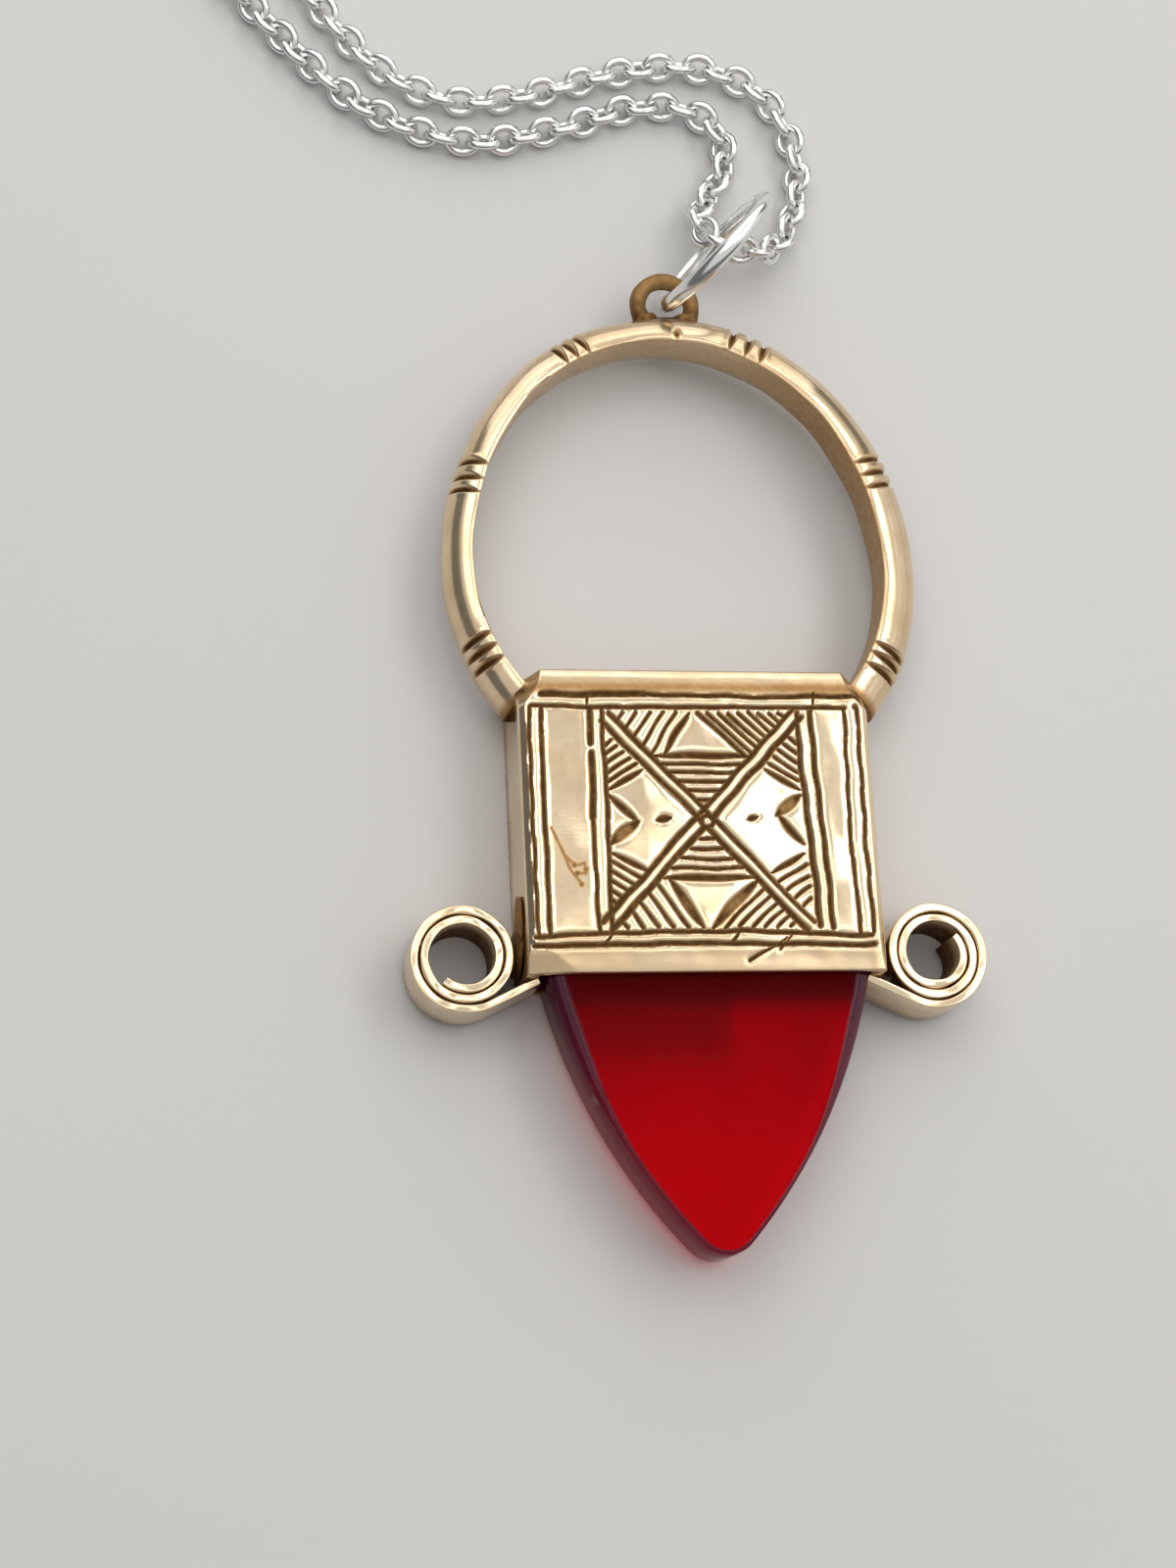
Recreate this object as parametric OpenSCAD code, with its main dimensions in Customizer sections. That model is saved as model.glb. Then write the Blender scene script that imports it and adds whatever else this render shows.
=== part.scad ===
// A silver necklace lying on its back: an engraved sheet-silver case with a hoop
// above it, a coiled scroll at each lower corner and a red drop in its open end.
// A lug on the hoop holds a jump ring, and a fine chain runs through the ring.
// The origin is the middle of the case's back, +Y points to the hoop, +Z is up.

/* [Case] */
// Width of the case
case_w = 21; // [20:0.5:22]
// Height of the case, from its open lower edge to its top
case_h = 18; // [17.5:0.5:18.5]
// Depth of the case, from its back to its front
case_d = 5.7; // [5.4:0.1:6.2]
// Thickness of the sheet silver
wall = 0.6; // [0.5:0.05:0.7]
// Width of the bevelled band along the top of the front
lip_w = 1.3; // [1:0.1:2]
// Fall of that band towards the top edge
lip_fall = 0.9; // [0.5:0.1:1.2]
// Width of the bevelled band along the bottom of the front
foot_w = 1.65; // [1:0.05:2]
// Fall of that band towards the bottom edge
foot_fall = 0.3; // [0.1:0.05:0.35]
// Bevel along the two upright edges of the front
side_bevel = 0.45; // [0.2:0.05:0.8]

/* [Engraving] */
// Width of an engraved line
line_w = 0.3; // [0.2:0.02:0.4]
// Height of the engraved panel's lower edge
panel_low = -6.4; // [-7:0.1:-6]
// Height of the engraved panel's upper edge
panel_high = 6.8; // [6:0.1:7]
// Left edge of the engraved panel
panel_left = -5.7; // [-6:0.1:-5]
// Right edge of the engraved panel
panel_right = 6.3; // [5.5:0.1:6.5]
// Distance between the two lines of an upright pair
pair_gap = 0.75; // [0.6:0.05:0.9]
// Distance between the two lines of a crossed strip
strip_gap = 0.66; // [0.5:0.02:0.8]
// Distance between two hatching strokes
hatch_gap = 0.5; // [0.4:0.05:0.7]
// Largest number of hatching strokes in a group
hatch_count = 6; // [3:1:7]

/* [Hoop] */
// Outer width of the hoop
hoop_w = 29.2; // [28:0.2:30]
// Height of the hoop's widest place above the middle of the case
hoop_mid = 16.5; // [16:0.5:17.5]
// Height of the hoop's top above the middle of the case
hoop_top = 33; // [32:0.2:33.6]
// Distance of the hoop to the right of the case's middle
hoop_shift = 0.3; // [0:0.1:0.5]
// Radius of the hoop's domed outer side
dome_r = 1.85; // [1.7:0.05:2]
// Thickness of the half-round wire, from its flat inner side to its crown
hoop_t = 1.95; // [1.8:0.05:2.1]
// Height of the wire's middle above the case's back
hoop_z = 2.75; // [2.4:0.05:3]
// Angle below level at which the hoop's legs meet the case
leg_angle = 40; // [38:1:42]
// Depth of a filed notch
notch_deep = 0.3; // [0.15:0.05:0.4]
// Angle between the notches of one group
notch_step = 2.4; // [2:0.1:3]

/* [Lug] */
// Radius of the lug's wire
lug_wire_r = 0.5; // [0.4:0.05:0.55]
// Radius of the lug, to the middle of its wire
lug_r = 1.7; // [1.65:0.05:1.8]
// Height of the lug's middle above the hoop's top
lug_rise = 1.05; // [0.9:0.05:1.2]

/* [Jump ring] */
// Radius of the jump ring, to the middle of its wire
ring_r = 4.425; // [4.4:0.025:4.5]
// Radius of the jump ring's wire
ring_wire_r = 0.525; // [0.45:0.025:0.55]
// Direction in which the jump ring stands away from the lug
ring_turn = 50; // [48:1:52]
// Lean of the jump ring away from upright
ring_lean = 14; // [12:1:16]

/* [Scrolls] */
// Outer radius of a scroll
scroll_r = 3.2; // [3:0.05:3.3]
// Thickness of the coiled strip
strip_t = 0.54; // [0.4:0.02:0.6]
// Gap between two turns of the strip
turn_gap = 0.12; // [0.1:0.02:0.2]
// Number of half turns in a scroll
half_turns = 4; // [3:1:4]
// Depth of the strip
strip_d = 3.5; // [3:0.1:4]
// Height of the strip's back above the case's back
strip_z = 0.5; // [0:0.1:1]
// Distance of a scroll's middle from the case's middle line
scroll_x = 14; // [14:0.1:14.4]
// Height of a scroll's middle above the middle of the case
scroll_y = -7.6; // [-7.8:0.1:-7.4]

/* [Stone] */
// Height of the stone's tip above the middle of the case
tip_y = -24.8; // [-25.6:0.1:-24]
// Radius of the stone's curved sides
stone_side_r = 34; // [32:0.5:36]
// Half of the width at which the stone's sides would run straight
stone_half_w = 10.35; // [10.2:0.05:10.4]
// Height at which they would run straight
stone_side_y = -1.2; // [-1.6:0.1:-0.8]
// Radius of the stone's tip
tip_r = 1.5; // [1.2:0.1:2]
// Thickness of the stone
stone_t = 4.15; // [3.8:0.05:4.15]
// Distance of the stone to the right of the case's middle
stone_shift = 0.2; // [-0.2:0.1:0.2]
// Width of the polished bevel round the stone's front
stone_bevel = 0.9; // [0.4:0.1:1.2]
// Length of the stone that is hidden in the case
tang_l = 7; // [5:0.5:9]
// Clearance round the stone in the case
stone_gap = 0.1; // [0.05:0.01:0.12]

/* [Chain and clasp] */
// Diameter of the chain over its links
chain_d = 2; // [1.8:0.05:2]
// Longest step between two rings of the chain's tube
chain_step = 7.4; // [6:0.2:12]
// Outer diameter of the clasp's ring
clasp_d = 7; // [6.5:0.1:7]
// Radius of the clasp ring's wire
clasp_wire_r = 0.7; // [0.5:0.05:0.75]
// Outer diameter of the clasp's eye
eye_d = 2.6; // [2.4:0.1:2.6]
// Radius of the eye's wire
eye_wire_r = 0.35; // [0.3:0.05:0.4]

/* [Hidden] */
$fn = 48;

// Length by which a cutting shape runs past what it cuts
spare = 1;

case_top = case_h / 2;
case_low = -case_h / 2;
lip_y = case_top - lip_w;
foot_y = case_low + foot_w;

// The border's lines keep edge_room from the front's edges, its upright pairs lie
// border_inset further in, and its level lines run band_room outside the panel.
edge_room = 0.1;
border_inset = 0.45;
band_room = 0.2;

// The crossed strips and the hatching end panel_inset inside the panel's edge, and
// the strokes keep end_room from the lines about them.
panel_inset = 0.2;
end_room = 0.1;
shortest_stroke = 0.3;

// The blank triangle above the crossing: its base's height and half width, as shares
// of the panel's half height and half width
blank_base = 0.6;
blank_half = 0.38;
side_spread = 1.15;

// The corner strokes' rise away from the panel's side, and their spread
corner_rise = 0.7;
corner_spread = 1.1;

// The notch in the blank kite beside them: its half height and its depth
kite_half = 1.15;
kite_deep = 1.5;

// The hoop is an oval of tangent arcs: a round lower part, two flatter sides and
// a tighter top, which meet where a side has turned by blend_angle.
blend_angle = atan2(3, 4);
low_r = hoop_w / 2;
hoop_rise = hoop_top - hoop_mid;
centre_gap = (hoop_rise - low_r) / (cos(blend_angle) + sin(blend_angle) - 1);
top_r = hoop_rise - centre_gap * sin(blend_angle);
side_r = top_r + centre_gap;
notch_places = [-27, 23, 65];
notches = 3;

// The jump ring stands on the surface, and its wire passes through the lug a little
// above the lug's middle.
pass_rise = 0.15;
ring_pass = [hoop_shift, hoop_top + lug_rise + pass_rise, hoop_z];
ring_h = ring_r * cos(ring_lean) + ring_wire_r;
ring_v = (hoop_z - ring_h) / cos(ring_lean);
ring_u = -sqrt(ring_r * ring_r - ring_v * ring_v);
ring_along = [cos(ring_turn), sin(ring_turn), 0];
ring_across = [-sin(ring_turn), cos(ring_turn), 0];
ring_flat = ring_pass - ring_u * ring_along + ring_v * sin(ring_lean) * ring_across;
ring_centre = [ring_flat.x, ring_flat.y, ring_h];

turn_pitch = strip_t + turn_gap;
tail_angle = 25;
tail_l = 3.2;

stone_z = wall + stone_gap;
stone_back_bevel = 0.3;
side_drop = case_low - stone_side_y;
mouth_half_w = stone_half_w - stone_side_r + sqrt(stone_side_r * stone_side_r - side_drop * side_drop);
least_tip_r = 0.4;
side_steps = 16;
tip_steps = 10;

// Edge of the stone's front, as [inset, depth below the front], in bevel widths
FRONT_EDGE = [[0, 0.8], [0.25, 0.35], [1, 0]];

// Middle of the chain, from the clasp's eye down the left strand, through the
// jump ring and back up the right strand to the clasp's ring.
CHAIN_ROUTE = [
    [-62, 187, 1], [-75, 185, 1], [-86, 178, 1], [-94, 167, 1], [-98, 153, 1],
    [-97, 137, 1], [-91, 122, 1], [-81, 108, 1], [-68, 95, 1], [-54.5, 84, 1],
    [-42, 74, 1], [-32, 64, 1], [-24.5, 54.5, 1], [-18.5, 48.5, 1], [-12, 46, 1],
    [-6, 47, 1], [-1, 48.8, 1], [2.8, 49, 1], [5, 47.4, 1], [5.2, 45, 1],
    [4, 42.7, 1.3], [3, 40.7, 2.2], [3.3, 39, 3.2], [4.7, 38, 3.6], [6.4, 38, 3.1],
    [8, 39, 2], [9.2, 41, 1.2], [10, 43.8, 1], [9.8, 47, 1], [8.2, 50.1, 1],
    [5.2, 51.8, 1], [1.5, 52, 1], [-2.5, 51.1, 1], [-7, 49.6, 1], [-12, 48.8, 1],
    [-16.5, 50.6, 1], [-20.5, 55, 1], [-23.5, 61, 1], [-24, 69, 1], [-21.5, 81, 1],
    [-16, 95, 1], [-10, 110, 1], [-6, 126, 1], [-5, 143, 1], [-7.5, 159, 1],
    [-15, 173.5, 1], [-26, 182.5, 1], [-39, 187, 1], [-52, 187.5, 1]
];
chain_sides = 8;
clasp_gap = 0.3;

// Curve through four points, at t between the two middle ones
function bend(a, b, c, d, t) =
    0.5 * (2 * b + (c - a) * t + (2 * a - 5 * b + 4 * c - d) * t * t
    + (3 * b - a - 3 * c + d) * t * t * t);

// Points along a route, with extra ones where two of its points lie far apart
function smooth_route(p) = [
    for (i = [0 : len(p) - 2])
        let (n = ceil(norm(p[i + 1] - p[i]) / chain_step))
        for (k = [0 : n - 1])
            bend(i > 0 ? p[i - 1] : 2 * p[0] - p[1], p[i], p[i + 1],
                i + 2 < len(p) ? p[i + 2] : 2 * p[i + 1] - p[i], k / n),
    p[len(p) - 1]
];

function unit(v) = v / norm(v);

// Direction of a route at its point i
function heading(p, i) = unit(p[min(i + 1, len(p) - 1)] - p[max(i - 1, 0)]);

// Tube of round section along a route that never runs straight up
module tube(p, r, sides) {
    rings = len(p);
    points = [
        for (i = [0 : rings - 1])
            let (d = heading(p, i))
            let (side = unit(cross(d, [0, 0, 1])))
            let (up = cross(side, d))
            for (k = [0 : sides - 1])
                let (a = 360 * (k + 0.5) / sides)
                p[i] + r / cos(180 / sides) * (side * cos(a) + up * sin(a))
    ];
    walls = [
        for (i = [0 : rings - 2])
            for (k = [0 : sides - 1])
                let (m = (k + 1) % sides)
                [i * sides + k, i * sides + m, (i + 1) * sides + m, (i + 1) * sides + k]
    ];
    first = [for (k = [0 : sides - 1]) sides - 1 - k];
    last = [for (k = [0 : sides - 1]) (rings - 1) * sides + k];
    polyhedron(points = points, faces = concat(walls, [first], [last]));
}

// Ring of round wire lying flat
module wire_ring(r, wire_r) {
    rotate_extrude() translate([r, 0]) circle(r = wire_r);
}

// Part of the hoop: half-round wire with the flat side inwards
module hoop_arc(outer_r, from_angle, to_angle) {
    rotate([0, 0, from_angle])
        rotate_extrude(angle = to_angle - from_angle)
            intersection() {
                translate([outer_r - dome_r, 0]) circle(r = dome_r);
                translate([outer_r - hoop_t, -dome_r]) square([hoop_t + spare, 2 * dome_r]);
            }
}

// Right half of the hoop, from its top down to the leg
module half_hoop() {
    hoop_arc(low_r, 0, -leg_angle);
    translate([low_r - side_r, 0, 0]) hoop_arc(side_r, 0, blend_angle);
    translate([0, hoop_rise - top_r, 0]) hoop_arc(top_r, 90, blend_angle);
}

// V-shaped cut across the hoop's crown at an angle on an arc of radius r
module notch(r, angle) {
    side = notch_deep * sqrt(2);
    rotate([0, 0, angle]) translate([r, 0, 0]) rotate([0, 0, 45])
        cube([side, side, 2 * dome_r + spare], center = true);
}

// Group of notches about the given angle, on the arc that passes there
module notch_group(angle) {
    for (k = [0 : notches - 1]) {
        a = angle + (k - (notches - 1) / 2) * notch_step;
        if (a < 0)
            notch(low_r, a);
        else if (a < blend_angle)
            translate([low_r - side_r, 0, 0]) notch(side_r, a);
        else
            translate([0, hoop_rise - top_r, 0]) notch(top_r, a);
    }
}

// The hoop with the lug on its top
module hoop_and_lug() {
    translate([hoop_shift, hoop_mid, hoop_z]) difference() {
        union() {
            half_hoop();
            mirror([1, 0, 0]) half_hoop();
            translate([0, hoop_rise + lug_rise, 0]) wire_ring(lug_r, lug_wire_r);
        }
        for (a = notch_places) {
            notch_group(a);
            mirror([1, 0, 0]) notch_group(a);
        }
    }
}

// Outer form of the case: its side view and its end view, crossed
module case_block() {
    front_top = case_d - lip_fall;
    front_low = case_d - foot_fall;
    intersection() {
        rotate([90, 0, 90])
            linear_extrude(height = case_w, center = true)
                polygon([
                    [case_low, 0], [case_top, 0], [case_top, front_top],
                    [lip_y, case_d], [foot_y, case_d], [case_low, front_low]
                ]);
        rotate([90, 0, 0])
            linear_extrude(height = case_h + 2 * spare, center = true)
                polygon([
                    [-case_w / 2, 0], [case_w / 2, 0],
                    [case_w / 2, case_d - side_bevel], [case_w / 2 - side_bevel, case_d],
                    [side_bevel - case_w / 2, case_d], [-case_w / 2, case_d - side_bevel]
                ]);
    }
}

// Hollow of the case, open at its lower end
module case_hollow() {
    hollow_w = 2 * (mouth_half_w + stone_gap + abs(stone_shift));
    translate([-hollow_w / 2, case_low - spare, wall])
        cube([hollow_w, lip_y - case_low + spare, stone_t + 2 * stone_gap]);
}

// Engraved line on the front, as a V-shaped cut from a to b
module cut_line(a, b) {
    run = b - a;
    side = line_w / sqrt(2);
    translate([a.x, a.y, case_d]) rotate([0, 0, atan2(run.y, run.x)])
        rotate([45, 0, 0]) translate([0, -side / 2, -side / 2])
            cube([norm(run), side, side]);
}

// Two lines side by side
module cut_pair(a, b, gap) {
    across = unit([a.y - b.y, b.x - a.x]) * gap / 2;
    cut_line(a + across, b + across);
    cut_line(a - across, b - across);
}

// Lines that frame the front and its panel
module border_lines() {
    edge = case_w / 2 - side_bevel - edge_room;
    border = edge - border_inset;
    for (y = [lip_y - edge_room, panel_high + band_room, panel_low - band_room, foot_y + edge_room])
        cut_line([-edge, y], [edge, y]);
    for (x = [-border, panel_left - pair_gap / 2, panel_right + pair_gap / 2, border])
        cut_pair([x, panel_low], [x, panel_high], pair_gap);
}

// Level strokes between the crossing and the blank triangle's base; the strip's
// edge lies strip_rise above its middle line
module level_strokes(base_y, diagonal, strip_rise) {
    for (k = [0 : hatch_count - 1]) {
        y = base_y - hatch_gap * (k + 0.5);
        x = (y - strip_rise) / diagonal;
        if (x > shortest_stroke)
            cut_line([0, y], [x, y]);
    }
}

// Strokes beside the blank triangle, parallel to its side
module side_strokes(half, base_y, diagonal, strip_rise) {
    fall = (half.y - base_y) / (blank_half * half.x);
    high_y = half.y - end_room;
    for (k = [1 : hatch_count]) {
        x = side_spread * hatch_gap * k;
        end_x = (high_y + fall * x - strip_rise) / (diagonal + fall);
        if (end_x > x + shortest_stroke)
            cut_line([x, high_y], [end_x, high_y - fall * (end_x - x)]);
    }
}

// Strokes in the corner between a crossed strip and the panel's side, and one side
// of the notch in the blank kite below them
module corner_strokes(half, base_y, diagonal, strip_rise) {
    side_x = half.x - end_room;
    for (k = [0 : hatch_count - 2]) {
        y = base_y - corner_spread * hatch_gap * k;
        end_x = (y + corner_rise * side_x + strip_rise) / (diagonal + corner_rise);
        if (end_x < side_x - shortest_stroke)
            cut_line([side_x, y], [end_x, y + corner_rise * (side_x - end_x)]);
    }
    cut_line([side_x, kite_half], [side_x - kite_deep, line_w]);
}

// Crossed strips and hatching of the panel
module panel_lines() {
    half = [panel_right - panel_left, panel_high - panel_low] / 2 - [panel_inset, panel_inset];
    middle = [panel_right + panel_left, panel_high + panel_low] / 2;
    diagonal = half.y / half.x;
    strip_rise = (strip_gap / 2 + line_w + end_room) * norm([1, diagonal]);
    base_y = blank_base * half.y;
    translate([middle.x, middle.y, 0]) {
        for (s = [-1, 1])
            cut_pair([-half.x, -s * half.y], [half.x, s * half.y], strip_gap);
        for (mx = [0, 1], my = [0, 1])
            mirror([mx, 0, 0]) mirror([0, my, 0]) {
                level_strokes(base_y, diagonal, strip_rise);
                side_strokes(half, base_y, diagonal, strip_rise);
                corner_strokes(half, base_y, diagonal, strip_rise);
            }
    }
}

// One scroll with its tail, drawn with the tail level: half rings whose middles
// step to and fro, coiled from the outside in
module scroll() {
    for (k = [0 : half_turns - 1]) {
        outer = scroll_r - k * turn_pitch / 2;
        inner_half = k % 2;
        translate([0, inner_half * turn_pitch / 2, 0]) rotate([0, 0, 90 - 180 * inner_half])
            rotate_extrude(angle = 180) translate([outer - strip_t, 0]) square([strip_t, strip_d]);
    }
    translate([0, -scroll_r, 0]) cube([tail_l, strip_t, strip_d]);
}

// The soldered silverwork: case, engraving, hoop, lug and the two scrolls
module pendant_frame() color("#c9bda4") {
    difference() {
        union() {
            case_block();
            hoop_and_lug();
        }
        case_hollow();
        border_lines();
        panel_lines();
    }
    for (m = [0, 1])
        mirror([m, 0, 0]) translate([-scroll_x, scroll_y, strip_z]) rotate([0, 0, tail_angle]) scroll();
}

// Right half of the stone's outline, drawn in by inset, from the tang to the tip
function stone_half(inset) =
    let (r = stone_side_r - inset)
    let (end_r = max(tip_r - inset, least_tip_r))
    let (cx = stone_half_w - stone_side_r)
    let (tip_cy = tip_y + tip_r)
    let (cy = stone_side_y)
    let (to_tip = atan2(tip_cy - cy, -cx))
    let (mouth = asin(side_drop / r))
    let (top = case_low + tang_l - inset)
    concat(
        [[mouth_half_w - inset, top]],
        [for (k = [0 : side_steps])
            let (a = mouth + (to_tip - mouth) * k / side_steps)
            [cx + r * cos(a), cy + r * sin(a)]],
        [for (k = [1 : tip_steps])
            let (a = to_tip + (-90 - to_tip) * k / tip_steps)
            [end_r * cos(a), tip_cy + end_r * sin(a)]]
    );

// Whole outline of the stone, counter-clockwise from above
function stone_outline(inset) =
    let (h = stone_half(inset))
    let (n = len(h))
    concat(
        [for (i = [0 : n - 1]) [-h[i].x, h[i].y]],
        [for (i = [n - 2 : -1 : 0]) h[i]]
    );

// The drop, a flat polished slab with a bevelled edge
module red_stone() color("#a80f14") {
    levels = concat(
        [[stone_back_bevel, 0], [0, stone_back_bevel]],
        [for (e = FRONT_EDGE) [e[0] * stone_bevel, stone_t - e[1] * stone_bevel]]
    );
    n = len(stone_outline(0));
    points = [
        for (l = levels)
            for (p = stone_outline(l[0]))
                [p.x + stone_shift, p.y, stone_z + l[1]]
    ];
    walls = [
        for (i = [0 : len(levels) - 2])
            for (k = [0 : n - 1])
                let (m = (k + 1) % n)
                [i * n + k, (i + 1) * n + k, (i + 1) * n + m, i * n + m]
    ];
    back = [for (k = [0 : n - 1]) k];
    front = [for (k = [0 : n - 1]) len(levels) * n - 1 - k];
    polyhedron(points = points, faces = concat(walls, [back], [front]));
}

// The ring that joins the lug to the chain
module jump_ring() color("#d8d8d6") {
    translate(ring_centre) rotate([0, 0, ring_turn]) rotate([90 + ring_lean, 0, 0])
        wire_ring(ring_r, ring_wire_r);
}

// The whole chain, as the round space that its links fill
module chain() color("#d2d4d6") {
    tube(smooth_route(CHAIN_ROUTE), chain_d / 2, chain_sides);
}

// A plain ring clasp with its eye, lying between the chain's two ends
module clasp() color("#dcdcda") {
    first = CHAIN_ROUTE[0];
    last = CHAIN_ROUTE[len(CHAIN_ROUTE) - 1];
    clasp_x = last.x - clasp_gap - clasp_d / 2;
    eye_x = first.x + clasp_gap + eye_d / 2;
    clasp_y = (first.y + last.y) / 2;
    translate([clasp_x, clasp_y, clasp_wire_r]) wire_ring(clasp_d / 2 - clasp_wire_r, clasp_wire_r);
    translate([eye_x, clasp_y, clasp_wire_r]) wire_ring(eye_d / 2 - eye_wire_r, eye_wire_r);
}

pendant_frame();
red_stone();
jump_ring();
chain();
clasp();
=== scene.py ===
# Looks of a silver necklace lying on its back on a pale floor: an engraved case with a
# hoop, two scrolls and a red drop, a jump ring, a fine chain and its clasp.
import math
import random

import bmesh
import bpy
import numpy as np
from mathutils import Matrix


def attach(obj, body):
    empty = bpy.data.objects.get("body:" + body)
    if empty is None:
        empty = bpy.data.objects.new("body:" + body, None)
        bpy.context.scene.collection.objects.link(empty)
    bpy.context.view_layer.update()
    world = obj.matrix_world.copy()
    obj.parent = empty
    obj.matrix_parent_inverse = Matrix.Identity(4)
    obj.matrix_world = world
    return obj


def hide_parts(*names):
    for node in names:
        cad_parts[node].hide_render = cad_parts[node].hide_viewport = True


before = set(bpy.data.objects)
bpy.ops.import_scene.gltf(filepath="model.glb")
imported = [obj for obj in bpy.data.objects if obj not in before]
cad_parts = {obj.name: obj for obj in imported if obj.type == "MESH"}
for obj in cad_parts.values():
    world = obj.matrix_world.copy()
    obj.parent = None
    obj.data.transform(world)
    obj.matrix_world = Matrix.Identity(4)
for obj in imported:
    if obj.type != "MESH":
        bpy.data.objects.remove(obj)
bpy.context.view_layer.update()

bl_info = {
    "name": "Silver necklace with an engraved case",
    "version": (1, 0, 0),
    "blender": (4, 5, 0),
    "location": "3D View > Sidebar > Necklace",
    "description": "Dresses the necklace's packed solids with engraved, cast and linked pieces",
    "category": "Add Mesh",
}

BODY = "root"
MM = 0.001
ALONG_X = (1, 0, 0)
ALONG_Y = (0, 1, 0)
ALONG_Z = (0, 0, 1)

# Case, in millimetres: its outside, the lip above its front and the foot below it
CASE_HALF_W = 10.5
CASE_TOP = 9.0
CASE_LOW = -9.0
CASE_D = 5.7
LIP_Y = 7.65
LIP_REACH = 0.3
LIP_FALLS = (0.05, 0.33)
FOOT_Y = -7.35
FOOT_SLOPE = 0.3 / 1.65
FOOT_RISE = 0.15
# Bevels at the front's sides and corners: where each starts, then its slopes across and down
SIDE_EDGE = 10.08
TOP_MITRE = (9.65, 1.2, 0.8)
LOW_MITRES = ((9.7, 0.25, 0.48), (9.9, 0.12, 0.16))
SOFT_BEND = 0.05
ROLLED_EDGE = 0.1
# The open lower end, with the depths of the rings that line its mouth and the painted shade on
# them, deepening into the hollow
HOLLOW_HALF_W = 9.74
HOLLOW_TOP = 7.7
HOLLOW_LOW_Z = 0.6
HOLLOW_HIGH_Z = 4.95
MOUTH_DEPTHS = (0.04, 0.12, 2.0, HOLLOW_TOP - CASE_LOW)
MOUTH_SHADES = (0.0, 0.6, 0.8, 0.9, 1.0, 1.0)
WALL_STEPS = 12
WALL_BULGE = 0.05
# Unevenness of the beaten front: heights, periods and seeds, and how far it lies lower
WAVES = ((0.028, 7.0, 31), (0.008, 2.4, 32))
WAVE_FALL = 0.03
# Places of the front that lean, as slopes: the left kite's outer part, how much more its
# inner part leans, and the right kite; then the low triangle and a patch of the right panel
KITE_TILTS = (0.01, 0.08, 0.07)
RIGHT_KITE_X = 3.5
POINT_TILT = 0.06
POINT_MIDDLE = (0.35, -4.8)
PATCH_TILT = 0.06
PATCH_MIDDLE = (8.1, -2.3)
PATCH_REACH = (0.75, 1.2)

# Engraving, in millimetres: the metal worn beside a cut, and how steep a cut's sides are
SHOULDER = 0.3
STEEPNESS = 1.8
# Lines that frame the front, as points and a half width
FRAME_LINES = (
    (((-9.2, 7.62), (-3, 7.66)), 0.21),
    (((-3, 7.66), (4, 7.6), (10.1, 7.68)), 0.15),
    (((-9.8, 6.95), (-4, 6.9), (3, 6.93), (9.1, 7.0)), 0.17),
    (((-10.1, -6.8), (-5, -6.6), (2, -6.5), (9.7, -6.85)), 0.17),
    (((-10.2, -7.3), (0, -7.24), (9.8, -7.36)), 0.2),
    (((-9.9, 6.9), (-9.96, 0), (-9.86, -6.7)), 0.14),
    (((-9.2, 6.9), (-9.24, 1), (-9.2, -6.6)), 0.17),
    (((-6.32, 6.8), (-6.36, 4.65)), 0.24),
    (((-6.36, 4.1), (-6.42, 0.2)), 0.24),
    (((-6.42, 0.2), (-6.36, -6.5)), 0.16),
    (((-5.62, 6.8), (-5.56, 1), (-5.62, -6.5)), 0.17),
    (((6.1, 6.7), (6.14, 5.1), (6.62, -6.3)), 0.18),
    (((6.86, 6.75), (7.36, -6.4)), 0.2),
    (((9.0, 6.9), (8.82, 0), (9.0, -6.7)), 0.15),
    (((9.82, 6.9), (9.72, 0), (9.78, -6.7)), 0.15),
)
# Middle of the crossing, and the ring punched round it: radius and half width
CROSSING = (0.25, 0.0)
DOT_R = 0.34
DOT_HALF = 0.18
# Corners of the panel, to which the crossed strips run, from the upper left to the right
PANEL_CORNERS = ((-5.43, 6.32), (6.09, 6.6), (6.1, -6.24), (-5.9, -6.17))
# Edges of the crossed strips: two corners, side, distance from the middle, two half widths
STRIP_LINES = (
    (0, 2, -1, 0.34, 0.2, 0.25),
    (0, 2, 1, 0.31, 0.21, 0.17),
    (1, 3, -1, 0.32, 0.19, 0.25),
    (1, 3, 1, 0.37, 0.25, 0.27),
)
STRIP_ROOM = 0.62
# Half widths of a level stroke, of the level cut at a triangle's base, and of the hatching,
# with the step by which the hatching is followed down and where it stops above the base
LEVEL_HALF = 0.15
BASE_HALF = 0.28
HATCH_HALF = 0.16
HATCH_STEP = 0.02
HATCH_ROOM = 0.1
# Level strokes above and below the crossing, by their distance from it
LEVEL_STROKES = (
    (1, (3.97, 3.45, 2.94, 2.43, 1.9, 1.3)),
    (-1, (3.4, 2.8, 2.24, 1.65, 1.05)),
)
# The blank triangles: up or down, apex, and the base's height, then for the left and the
# right the base's end, the number of strokes, and the edge's half width and leaf shape
TRIANGLES = (
    (1, (-0.1, 6.62), 3.97, ((False, -1.84, 6, 0.27, True), (True, 2.62, 9, 0.18, False))),
    (-1, (0.0, 6.32), 3.4, ((False, -1.87, 6, 0.36, True), (True, 2.94, 7, 0.4, True))),
)
# Corner strokes: where the first and the last start and end, and how many there are
CORNERS = (
    ((-5.42, 4.55), (-5.1, 4.85), (-5.43, 1.81), (-3.4, 3.08), 6),
    ((5.98, 4.75), (5.5, 5.15), (6.0, 1.95), (3.85, 3.2), 6),
    ((-5.48, -4.7), (-5.2, -5.0), (-5.45, -1.85), (-3.3, -3.0), 6),
    ((6.2, -4.6), (5.75, -5.0), (6.05, -1.9), (3.9, -3.1), 5),
)
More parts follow.
